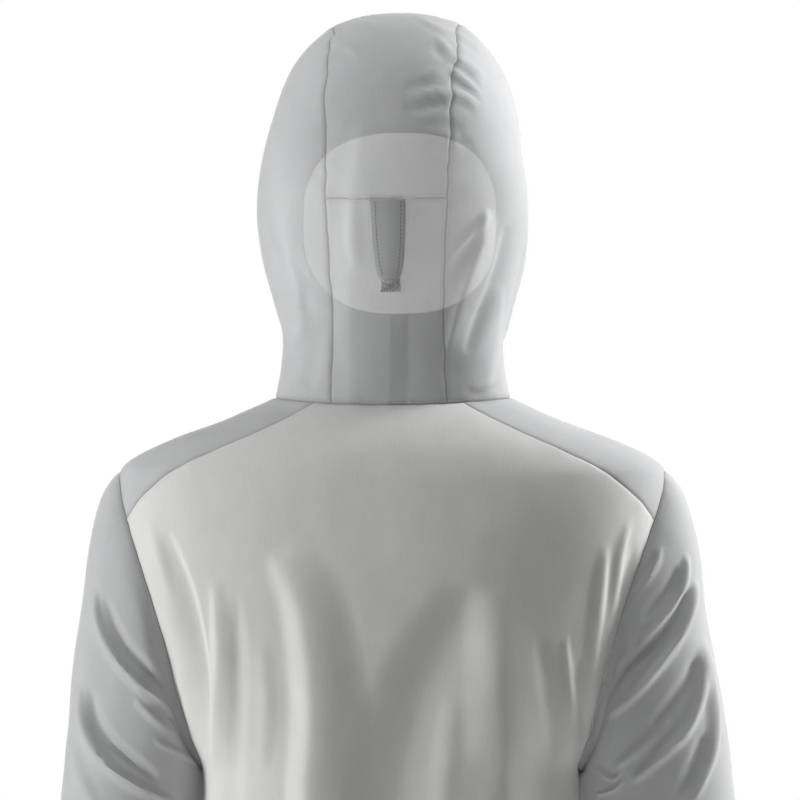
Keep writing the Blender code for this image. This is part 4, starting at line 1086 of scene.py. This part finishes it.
def shape_cloth(panels):
    """Raise every crease, ripple and pucker; points shared by two panels move alike."""
    share_normals(panels)
    names = seam_fields(panels, seam_lines(panels))
    wander_seams(panels, names)
    for panel in panels:
        flat, normals = panel.points.reshape(-1, 3), panel.normals.reshape(-1, 3)
        lift = crease_lifts(flat, normals, panel.region).reshape(panel.seam.shape)
        # Creases stop short of the armhole, neck and zip seams, where two surfaces meet.
        lift += ripple_lifts(flat).reshape(lift.shape)
        lift = lift * smooth(panel.stop_distance / SEAM_FADE) + pucker_lifts(panel, names)
        lift += trench_lifts(panel, names)
        panel.raised = panel.points + panel.normals * lift[..., None]
    for panel in panels:
        panel.points = panel.raised
    share_normals(panels)


# ---- Meshes ----

def with_edge_lines(values, closed):
    """A grid with extra lines in its outermost cells, close to each edge."""
    def add(grid):
        shape = (1,) * (grid.ndim - 1)
        share = np.array(EDGE_LINES).reshape((-1,) + shape)
        first = grid[:1] + share * (grid[1:2] - grid[:1])
        last = grid[-1:] + share[::-1] * (grid[-2:-1] - grid[-1:])
        return np.concatenate((grid[:1], first, grid[1:-1], last, grid[-1:]))

    values = add(values)
    if not closed:
        values = np.swapaxes(add(np.swapaxes(values, 0, 1)), 0, 1)
    return values


def edge_distances(points, closed):
    """Distance of each point of a grid from the nearest edge, measured along the grid."""
    rows = running(points)
    distance = np.minimum(rows, rows[-1:] - rows)
    if not closed:
        columns = running(points, 1)
        distance = np.minimum(distance, np.minimum(columns, columns[:, -1:] - columns))
    return distance


def draw_back(points, closed, gap):
    """Draw every edge of a grid back by a gap, towards the next line of points."""
    moved = points.copy()
    moved[0] += gap * unit(points[1] - points[0])
    moved[-1] += gap * unit(points[-2] - points[-1])
    if not closed:
        moved[:, 0] += gap * unit(points[:, 1] - points[:, 0])
        moved[:, -1] += gap * unit(points[:, -2] - points[:, -1])
    return moved


def arc_uv(points, closed):
    """Lengths across and along the cloth, in metres, with a last column that closes it."""
    if closed:
        points = np.concatenate((points, points[:, :1]), axis=1)
    u = running(points, 1)
    return np.stack((u - u[:, -1:] / 2, running(points)), axis=-1)


def grid_faces(rows, columns, closed):
    """Corners of the faces of a grid, and the corners of the same faces in its UV grid."""
    spans = columns if closed else columns - 1
    j, i = np.meshgrid(np.arange(rows - 1), np.arange(spans), indexing="ij")
    j, i = j.ravel(), i.ravel()
    k = (i + 1) % columns
    wide = columns + 1 if closed else columns
    corners = np.stack((j * columns + i, (j + 1) * columns + i, (j + 1) * columns + k, j * columns + k), 1)
    places = np.stack((j * wide + i, (j + 1) * wide + i, (j + 1) * wide + i + 1, j * wide + i + 1), 1)
    return corners, places


def rim_faces(rows, columns, closed):
    """Faces between the outer and the inner layer, round the edges of a grid."""
    size = rows * columns
    spans = columns if closed else columns - 1
    i = np.arange(spans)
    k = (i + 1) % columns
    top = (rows - 1) * columns
    faces = [
        np.stack((i, k, k + size, i + size), 1),
        np.stack((top + k, top + i, top + i + size, top + k + size), 1),
    ]
    if not closed:
        a = np.arange(rows - 1) * columns
        b = a + columns
        c, d = a + columns - 1, b + columns - 1
        faces += [np.stack((b, a, a + size, b + size), 1), np.stack((c, d, d + size, c + size), 1)]
    return np.concatenate(faces)


def new_object(name, data):
    item = bpy.data.objects.new(name, data)
    bpy.context.scene.collection.objects.link(item)
    return item


def new_item(name, mesh, material):
    """An object with one material."""
    mesh.materials.append(material)
    return new_object(name, mesh)


def shell_object(name, outer, inner, closed, material, seam):
    """A thin closed shell between two grids, with lengths in metres as its UV."""
    rows, columns = outer.shape[:2]
    corners, places = grid_faces(rows, columns, closed)
    rims = rim_faces(rows, columns, closed)
    faces = np.concatenate((corners, (corners + rows * columns)[:, ::-1], rims))
    mesh = bpy.data.meshes.new(name)
    points = np.concatenate((outer.reshape(-1, 3), inner.reshape(-1, 3)))
    mesh.from_pydata(points.tolist(), [], faces.tolist())
    uv = arc_uv(outer, closed).reshape(-1, 2)
    flat_uv = uv.reshape((rows, -1, 2))[:, :columns].reshape(-1, 2)
    rim_uv = flat_uv[rims.ravel() % (rows * columns)]
    layer = mesh.uv_layers.new(name="cloth")
    corner_uv = np.concatenate((uv[places.ravel()], uv[places[:, ::-1].ravel()], rim_uv))
    layer.data.foreach_set("uv", corner_uv.ravel())
    distance = mesh.attributes.new("seam", "FLOAT", "POINT")
    distance.data.foreach_set("value", np.concatenate((seam.ravel(), seam.ravel())))
    mesh.update()
    mesh.shade_smooth()
    mesh.set_sharp_from_angle(angle=SHARP_ANGLE)
    return new_item(name, mesh, material)


def add_shell(node, grids, closed, material, seam):
    """A shell that rides with the garment and stands for a node."""
    item = shell_object(node + "_cloth", *grids, closed, material, seam)
    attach(item, "garment")
    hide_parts(node)
    return item


def far_from_seams(points):
    """Seam distances for a piece that has no seam of its own to darken it."""
    return np.full(points.shape[:2], PLAIN_DISTANCE)


def add_cloth(panel, material):
    """The fine cloth of a panel, which stands for its solid."""
    outer = with_edge_lines(panel.points, panel.closed)
    normals = unit(with_edge_lines(unit(panel.normals + panel.own), panel.closed))
    distance = edge_distances(outer, panel.closed)
    roll = EDGE_ROLL * np.exp(-(distance / EDGE_ROLL_REACH) ** 2)
    outer = draw_back(outer - normals * roll[..., None], panel.closed, CLOTH_GAP)
    inner = outer - CLOTH_WALL * normals
    seam = np.minimum(distance, SEAM_DARK_LIMIT)
    return add_shell(panel.name, (outer, inner), panel.closed, material, seam)


# ---- Materials ----

def new_material(name, colour, roughness, metallic=0.0):
    material = bpy.data.materials.new(name)
    material.use_nodes = True
    shader = material.node_tree.nodes["Principled BSDF"]
    shader.inputs["Base Color"].default_value = (*colour, 1.0)
    shader.inputs["Roughness"].default_value = roughness
    shader.inputs["Metallic"].default_value = metallic
    material.diffuse_color = (*colour, 1.0)
    return material, shader


def add_node(tree, kind, inputs=None, operation=None):
    """A shader node, whose inputs are values or outputs of other nodes."""
    node = tree.nodes.new("ShaderNode" + kind)
    if operation:
        node.operation = operation
    for socket, value in (inputs or {}).items():
        if isinstance(value, bpy.types.NodeSocket):
            tree.links.new(value, node.inputs[socket])
        else:
            node.inputs[socket].default_value = value
    return node


def stretched_noise(tree, source, scale, detail, roughness=0.5):
    """Noise on coordinates that are stretched by a scale on each axis."""
    mapping = add_node(tree, "Mapping", {"Vector": source, "Scale": scale})
    inputs = {"Scale": 1.0, "Detail": detail, "Roughness": roughness}
    return add_node(tree, "TexNoise", {"Vector": mapping.outputs["Vector"], **inputs}).outputs["Fac"]


def ranged(tree, value, low, high, to_low, to_high):
    inputs = {"Value": value, "From Min": low, "From Max": high, "To Min": to_low, "To Max": to_high}
    return add_node(tree, "MapRange", inputs).outputs["Result"]


def math_node(tree, operation, first, second):
    return add_node(tree, "Math", {0: first, 1: second}, operation).outputs[0]


def tinted(tree, shader, colour, factor):
    """Base colour times a grey factor."""
    node = add_node(tree, "VectorMath", {0: colour, "Scale": factor}, "SCALE")
    tree.links.new(node.outputs[0], shader.inputs["Base Color"])


def bumped(tree, shader, height, strength, distance):
    node = add_node(tree, "Bump", {"Height": height, "Strength": strength, "Distance": distance})
    tree.links.new(node.outputs["Normal"], shader.inputs["Normal"])


def threads(tree, source, pitch):
    """Plain weave: warp and weft waves of one pitch."""
    inputs = {
        "Vector": source, "Scale": WAVE_LENGTH / pitch,
        "Distortion": WAVE_DISTORTION, "Detail": WAVE_DETAIL,
    }
    heights = []
    for axis in ("X", "Y"):
        wave = add_node(tree, "TexWave", inputs)
        wave.bands_direction = axis
        heights.append(wave.outputs["Fac"])
    return math_node(tree, "ADD", *heights)


def cloth_material(name, colour, clearness, sheen):
    """Thin woven shell cloth: weave, fine slubs up the cloth, soft mottling, darker seam lines, and a band
    of painted shade beside each seam where its allowance holds back light.
    """
    material, shader = new_material(name, colour, CLOTH_ROUGHNESS)
    shader.inputs["Alpha"].default_value = 1.0 - clearness
    shader.inputs["Sheen Weight"].default_value = sheen
    shader.inputs["Sheen Roughness"].default_value = SHEEN_ROUGHNESS
    shader.inputs["Specular IOR Level"].default_value = CLOTH_SPECULAR
    tree = material.node_tree
    uv = add_node(tree, "UVMap").outputs["UV"]
    slubs = stretched_noise(tree, uv, *SLUBS)
    mottling = stretched_noise(tree, uv, *MOTTLING)
    tone = math_node(
        tree, "MULTIPLY",
        ranged(tree, slubs, *SLUB_RANGE, 1 - SLUB_TONE, 1 + SLUB_TONE),
        ranged(tree, mottling, *NOISE_RANGE, 1 - MOTTLE_TONE, 1 + MOTTLE_TONE),
    )
    seam = add_node(tree, "Attribute")
    seam.attribute_name = "seam"
    line = ranged(tree, seam.outputs["Fac"], *SEAM_LINE, SEAM_LINE_TONE, 1.0)
    # Painted shade: a faint darker band beside each seam, standing in for the light that the seam
    # allowance behind holds back.
    allowance_shade = ranged(tree, seam.outputs["Fac"], *SEAM_SHADE_BAND, SEAM_SHADE_TONE, 1.0)
    tone = math_node(tree, "MULTIPLY", tone, math_node(tree, "MULTIPLY", line, allowance_shade))
    tinted(tree, shader, colour, tone)
    weave = math_node(tree, "ADD", threads(tree, uv, THREAD_PITCH), slubs)
    bumped(tree, shader, weave, WEAVE_STRENGTH, WEAVE_DEPTH)
    return material


def grained_material(name, colour, grain):
    """A thread, plastic or metal with a fine grain in its tone and its height."""
    roughness, metallic, scale, detail, tones, strength, rough_range = grain
    material, shader = new_material(name, colour, roughness, metallic)
    tree = material.node_tree
    place = add_node(tree, "TexCoord").outputs["Object"]
    texture = stretched_noise(tree, place, scale, detail)
    tinted(tree, shader, colour, ranged(tree, texture, *NOISE_RANGE, *tones))
    if rough_range:
        tree.links.new(ranged(tree, texture, *NOISE_RANGE, *rough_range), shader.inputs["Roughness"])
    bumped(tree, shader, texture, strength, GRAIN_DEPTH)
    return material


# ---- Studio ----

def add_light(name, place, size, power, target):
    data = bpy.data.lights.new(name, "AREA")
    data.shape = "RECTANGLE"
    data.size, data.size_y = size
    data.energy = power
    item = new_object(name, data)
    item.location = place
    item.rotation_euler = (Vector(target) - Vector(place)).to_track_quat("-Z", "Y").to_euler()


def add_world():
    """White for the camera; for the cloth an even room that is brighter beside and behind it."""
    world = bpy.data.worlds.new("studio")
    bpy.context.scene.world = world
    world.use_nodes = True
    tree = world.node_tree
    shader = tree.nodes["Background"]
    shader.inputs["Color"].default_value = (1.0, 1.0, 1.0, 1.0)
    direction = add_node(tree, "TexCoord").outputs["Generated"]
    dot = add_node(tree, "VectorMath", {0: direction, 1: ROOM_SLOPE}, "DOT_PRODUCT")
    level = math_node(tree, "ADD", dot.outputs["Value"], ROOM_LEVEL)
    room = math_node(tree, "MAXIMUM", level, ROOM_LEAST)
    camera_ray = add_node(tree, "LightPath").outputs["Is Camera Ray"]
    mix = add_node(tree, "Mix", {"Factor": camera_ray, "A": room, "B": BACKDROP_LEVEL})
    tree.links.new(mix.outputs["Result"], shader.inputs["Strength"])


def add_camera():
    data = bpy.data.cameras.new("camera")
    data.lens = CAMERA_LENS
    data.sensor_width = CAMERA_SENSOR
    item = new_object("camera", data)
    axes = Matrix((VIEW_RIGHT, (0.0, 0.0, 1.0), -VIEW_FORWARD)).transposed().to_4x4()
    item.matrix_world = Matrix.Translation(Vector(CAMERA_PLACE)) @ axes
    bpy.context.scene.camera = item


def add_floor():
    mesh = bpy.data.meshes.new("floor")
    corners = [(x * FLOOR_HALF, y * FLOOR_HALF, FLOOR_LEVEL) for x, y in FLOOR_CORNERS]
    mesh.from_pydata(corners, [], [(0, 1, 2, 3)])
    material, _ = new_material("floor_paper", FLOOR_GREY, FLOOR_ROUGHNESS)
    new_item("floor", mesh, material)


def add_studio():
    bpy.context.scene.view_settings.view_transform = "Standard"
    add_world()
    add_camera()
    add_floor()
    for values in LIGHTS:
        add_light(*values)


# ---- Points on the finished cloth ----

def blend_rows(grid, row):
    """Values of a grid at a place between two of its rows."""
    low = min(int(row), len(grid) - 2)
    return grid[low] + (row - low) * (grid[low + 1] - grid[low])


def cloth_at(panel, pixel):
    """Point and outward direction of a panel where the camera sees it at a pixel."""
    goal = (np.array(pixel) - PIXEL_ORIGIN) * (METRES_A_PIXEL, -METRES_A_PIXEL)
    plane, _ = seen_plane(panel.points.reshape(-1, 3), panel.normals.reshape(-1, 3), "back")
    plane = plane.reshape(panel.points.shape[:2] + (2,))
    middle = plane[:, plane.shape[1] // 2, 1]
    middle = middle[:middle.argmax() + 1]
    row = np.interp(goal[1], middle, np.arange(len(middle)))
    line = blend_rows(plane, row)
    column = np.interp(goal[0], line[::-1, 0], np.arange(len(line))[::-1])
    point = blend_rows(blend_rows(panel.points, row), column)
    return point, unit(blend_rows(blend_rows(panel.normals, row), column))


def inset_line(panel, edge, inset):
    """Line of points and directions on a panel, a length in from one of its edges."""
    points, normals = panel.points, panel.normals
    if edge in ("left", "right"):
        points, normals = np.swapaxes(points, 0, 1), np.swapaxes(normals, 0, 1)
    if edge in ("top", "right"):
        points, normals = points[::-1], normals[::-1]
    line, outward = [], []
    for i in range(points.shape[1]):
        row = np.interp(inset, running(points[:, i]), np.arange(len(points)))
        line.append(blend_rows(points[:, i], row))
        outward.append(unit(blend_rows(normals[:, i], row)))
    if panel.closed:
        line, outward = line + line[:1], outward + outward[:1]
    return np.array(line), np.array(outward)


def resample(line, outward, pitch):
    """Even points along a line, with their directions."""
    lengths = running(line)
    at = np.arange(pitch / 2, lengths[-1], pitch)
    place = [np.interp(at, lengths, line[:, axis]) for axis in range(3)]
    facing = [np.interp(at, lengths, outward[:, axis]) for axis in range(3)]
    return np.stack(place, axis=-1), unit(np.stack(facing, axis=-1))


# ---- Small repeated shapes: stitches, teeth and fibres ----

def pill(sides, rings):
    """Round-ended bar of length 2 along x and radius 1: points and faces."""
    points, faces = [(-1.0, 0.0, 0.0)], []
    for ring in range(rings):
        turn = math.pi * (ring + 1) / (rings + 1)
        along, radius = -math.cos(turn), math.sqrt(math.sin(turn))
        for side in range(sides):
            angle = 2 * math.pi * side / sides
            points.append((along, radius * math.cos(angle), radius * math.sin(angle)))
    points.append((1.0, 0.0, 0.0))
    last = len(points) - 1
    for side in range(sides):
        after = (side + 1) % sides
        faces.append((0, 1 + after, 1 + side, 1 + side))
        for ring in range(rings - 1):
            a, b = 1 + ring * sides, 1 + (ring + 1) * sides
            faces.append((a + side, a + after, b + after, b + side))
        faces.append((last, last - sides + side, last - sides + after, last - sides + after))
    return np.array(points), [tuple(dict.fromkeys(face)) for face in faces]


def repeated(name, places, alongs, outwards, size, material, shape):
    """One object of many small shapes, each at a place, along a direction, facing out."""
    points, faces = pill(*shape)
    across = unit(np.cross(outwards, alongs))
    outwards = unit(np.cross(alongs, across))
    scaled = points * np.array(size)
    every = (
        places[:, None] + scaled[None, :, :1] * alongs[:, None]
        + scaled[None, :, 1:2] * across[:, None] + scaled[None, :, 2:] * outwards[:, None]
    )
    count = len(points)
    corners = [
        tuple(corner + index * count for corner in face)
        for index in range(len(places)) for face in faces
    ]
    mesh = bpy.data.meshes.new(name)
    mesh.from_pydata(every.reshape(-1, 3).tolist(), [], corners)
    mesh.update()
    mesh.shade_smooth()
    item = new_item(name, mesh, material)
    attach(item, "garment")
    return item


def directions_along(places):
    """Direction of a line at each of its points."""
    ahead = np.concatenate((places[1:], places[-1:] * 2 - places[-2:-1]))
    behind = np.concatenate((places[:1] * 2 - places[1:2], places[:-1]))
    return unit(ahead - behind)


def add_stitches(name, lines, material):
    """Rows of stitches, sunk a little into the cloth."""
    places, alongs, outwards = [], [], []
    for line, outward in lines:
        spots, facing = resample(line, outward, STITCH_PITCH)
        if len(spots) < 2:
            continue
        places.append(spots + facing * STITCH_LIFT)
        alongs.append(directions_along(spots))
        outwards.append(facing)
    size = (STITCH_LENGTH / 2, STITCH_RADIUS, STITCH_RADIUS)
    arrays = [np.concatenate(item) for item in (places, alongs, outwards)]
    repeated(name, *arrays, size, material, STITCH_SHAPE)


# ---- Tab and its fastener ----

def tab_grid(panel):
    """Rows of points of the tab, from its tip up to the cross seam, with their directions."""
    rows, facings = [], []
    for y in np.linspace(TAB_TIP, TAB_TOP, TAB_GRID_ROWS):
        left = np.interp(y, TAB_LEVELS, TAB_LEFTS)
        right = np.interp(y, TAB_LEVELS, TAB_RIGHTS)
        share = (y - TAB_TOP) / (TAB_TIP - TAB_TOP)
        lift = TAB_LIFTS[0] + (TAB_LIFTS[1] - TAB_LIFTS[0]) * share ** TAB_LIFT_POWER
        (start, _), (middle, outward), (end, _) = (
            cloth_at(panel, (x, y)) for x in (right, (left + right) / 2, left)
        )
        across = np.linspace(0, 1, TAB_GRID_COLUMNS)[:, None]
        bow = TAB_BOW * np.sin(np.pi * across)
        rows.append(start + (end - start) * across + outward * (lift + bow))
        facings.append(np.tile(outward, (TAB_GRID_COLUMNS, 1)))
    return np.array(rows), np.array(facings)


def add_tab(panel, material, thread):
    """The tab, which hangs from the cross seam over a panel, with its stitches."""
    points, normals = tab_grid(panel)
    grid = with_edge_lines(points, False)
    facing = unit(with_edge_lines(normals, False))
    distance = edge_distances(grid, False)
    roll = TAB_ROLL * np.exp(-(distance / TAB_ROLL_REACH) ** 2)
    outer = grid + facing * (TAB_WALL - roll)[..., None]
    inner = grid + facing * (TAB_INNER_ROLL * roll)[..., None]
    item = add_shell("hood_tab", (outer, inner), False, material, far_from_seams(grid))
    add_tab_stitches(points + normals * TAB_WALL, normals, thread)
    return item


def add_tab_stitches(points, normals, thread):
    """Stitches along both sides and round the foot of the tab."""
    lines = []
    face = SimpleNamespace(points=points, normals=normals, closed=False)
    for side, inset in TAB_STITCH_INSETS.items():
        line, outward = inset_line(face, side, inset)
        lines.append((line[TAB_STITCH_ROWS:], outward[TAB_STITCH_ROWS:]))
    line, outward = inset_line(face, "bottom", TAB_STITCH_FOOT)
    foot = slice(TAB_STITCH_CORNER, -TAB_STITCH_CORNER)
    lines.append((line[foot], outward[foot]))
    add_stitches("hood_tab_stitches", lines, thread)


def spots_on(panel, pixels):
    """Points and outward directions of a panel at a list of pixels."""
    points, outward = zip(*(cloth_at(panel, pixel) for pixel in pixels))
    return np.array(points), np.array(outward)


def add_fastener(panel, material):
    """The hook-and-loop patch under the tab's tip."""
    rows, columns = FASTENER_GRID
    xs = np.linspace(FASTENER_RIGHT, FASTENER_LEFT, columns)
    ys = np.linspace(FASTENER_FOOT, FASTENER_TOP, rows)
    points, normals = spots_on(panel, [(x, y) for y in ys for x in xs])
    inner = (points + normals * FASTENER_LIFT).reshape(rows, columns, 3)
    outer = inner + normals.reshape(rows, columns, 3) * FASTENER_WALL
    return add_shell("hood_tab_fastener", (outer, inner), False, material, far_from_seams(inner))


def add_fibres(panel, material):
    """Loose fibres of the patch, which spill a little over its edges."""
    random = np.random.default_rng(FIBRE_SEED)
    spots = random.uniform(
        (FASTENER_LEFT - FIBRE_SPILL, FIBRE_TOP),
        (FASTENER_RIGHT + FIBRE_SPILL, FASTENER_FOOT + FIBRE_SPILL), (FIBRE_COUNT, 2),
    )
    places, outward = spots_on(panel, spots)
    lean = unit(outward + random.uniform(-FIBRE_LEAN, FIBRE_LEAN, (FIBRE_COUNT, 3)))
    places = places + outward * (FASTENER_LIFT + FASTENER_WALL)
    facing = np.roll(lean, 1, axis=1)
    repeated("hood_tab_fastener_fibres", places, lean, facing, FIBRE_SIZE, material, FIBRE_SHAPE)


# ---- Zip ----

def zip_strip(xs):
    """Rows of points beside the zip line, on the left, from the hem to the top."""
    xs = np.array(xs)[None]
    parts = []
    for ring in (trunk_ring(zip_levels()[:, None]), hood_ring(hood_places()[1:, None])):
        parts.append(ring_points(ring, math.pi - ring_angle(ring, xs)))
    return np.concatenate(parts)


def add_zip_tape(side, material):
    """One tape, from the edge of the cloth to the middle of the zip."""
    points = zip_strip(np.linspace(ZIP_OPENING_HALF - CLOTH_GAP, TAPE_EDGE, TAPE_COLUMNS))
    if side == "right":
        points = points[:, ::-1] * np.array((-1.0, 1.0, 1.0))
    normals = unit(grid_normals(points, False))
    outer = points - normals * TAPE_SINK
    grids = (outer, outer - normals * TAPE_WALL)
    return add_shell("zip_tape_" + side, grids, False, material, far_from_seams(points))


def add_zip_teeth(material):
    """Moulded teeth, in turn from the left and from the right tape."""
    line = zip_strip([TOOTH_LINE_HALF])[:, 0]
    line[:, 0] = 0.0
    runs = np.diff(line, axis=0)
    outward = unit(np.stack((np.zeros(len(runs)), -runs[:, 2], runs[:, 1]), axis=-1))
    outward = np.concatenate((outward, outward[-1:]))
    places, facing = resample(line, outward, TOOTH_PITCH)
    count = len(places)
    closed = np.arange(int(ZIP_BOX_LENGTH / TOOTH_PITCH) + 1, count - int(SLIDER_ROOM / TOOTH_PITCH))
    parted = np.repeat(np.arange(count - 1, count - int(PARTED_LENGTH / TOOTH_PITCH) - 1, -2), 2)
    sides = np.concatenate((
        np.where(closed % 2, TOOTH_OFFSET, -TOOTH_OFFSET),
        np.where(np.arange(len(parted)) % 2, PARTED_OFFSET, -PARTED_OFFSET),
    ))
    kept = np.concatenate((closed, parted))
    places, facing = places[kept], facing[kept]
    places = places + facing * TOOTH_LIFT + np.stack((sides, 0 * sides, 0 * sides), axis=-1)
    alongs = np.tile(np.array((1.0, 0.0, 0.0)), (len(places), 1))
    item = repeated("zip_teeth", places, alongs, facing, TOOTH_SIZE, material, TOOTH_SHAPE)
    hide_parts("zip_chain")


def add_bevelled(node, body, material):
    """A finer copy of a small hard solid, with rounded edges."""
    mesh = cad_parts[node].data.copy()
    shape = bmesh.new()
    shape.from_mesh(mesh)
    bmesh.ops.remove_doubles(shape, verts=shape.verts[:], dist=METAL_WELD)
    bmesh.ops.dissolve_limit(
        shape, angle_limit=METAL_FLAT_ANGLE, verts=shape.verts[:], edges=shape.edges[:],
    )
    sharp = [edge for edge in shape.edges if edge.calc_face_angle(0.0) > METAL_EDGE_ANGLE]
    bmesh.ops.bevel(
        shape, geom=sharp, offset=METAL_BEVEL, segments=METAL_BEVEL_STEPS,
        profile=METAL_BEVEL_PROFILE, affect="EDGES", clamp_overlap=True,
    )
    shape.to_mesh(mesh)
    shape.free()
    mesh.materials.clear()
    mesh.shade_smooth()
    mesh.set_sharp_from_angle(angle=METAL_SHARP_ANGLE)
    item = new_item(node + "_metal", mesh, material)
    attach(item, body)
    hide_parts(node)


# ---- Making it all ----

def add_topstitching(panels, thread):
    """Stitched lines along the hem, the cuffs, the face opening, the zip and the neck."""
    by_name = {panel.name: panel for panel in panels}
    for name, (inset, edges) in STITCHED_EDGES.items():
        lines = [inset_line(by_name[panel], edge, inset) for panel, edge in edges]
        add_stitches(name, lines, thread)


def add_cloth_pieces(panels):
    """The panels, the tab, the patch and the zip tapes, by the names of their nodes."""
    materials = {
        "warm_cloth": cloth_material("warm_cloth", WARM_CLOTH, WARM_CLEARNESS, CLOTH_SHEEN),
        "cool_cloth": cloth_material("cool_cloth", COOL_CLOTH, COOL_CLEARNESS, CLOTH_SHEEN),
    }
    tab = cloth_material("tab_cloth", TAB_CLOTH, 0.0, CLOTH_SHEEN)
    tape = cloth_material("zip_tape_cloth", TRIM_GREY, 0.0, TAPE_SHEEN)
    loops = cloth_material("loop_cloth", LOOP_GREY, 0.0, LOOP_SHEEN)
    strip = next(panel for panel in panels if panel.name == "hood_centre_lower")
    items = {panel.name: add_cloth(panel, materials[panel.slot]) for panel in panels}
    items["hood_tab"] = add_tab(strip, tab, grained_material("tab_thread", TAB_THREAD, THREAD_GRAIN))
    items["hood_tab_fastener"] = add_fastener(strip, loops)
    add_fibres(strip, grained_material("loop_fibres", FIBRE_GREY, THREAD_GRAIN))
    for side in ("left", "right"):
        items["zip_tape_" + side] = add_zip_tape(side, tape)
    return items


def main():
    add_studio()
    panels = cloth_panels()
    lean_hood(panels)
    shape_cloth(panels)
    items = add_cloth_pieces(panels)
    add_zip_teeth(grained_material("zip_moulding", TRIM_GREY, MOULDED_GRAIN))
    add_topstitching(panels, grained_material("thread", THREAD_GREY, THREAD_GRAIN))
    metal = grained_material("lacquered_metal", METAL, METAL_GRAIN)
    for node, body in METAL_PIECES:
        add_bevelled(node, body, metal)


main()
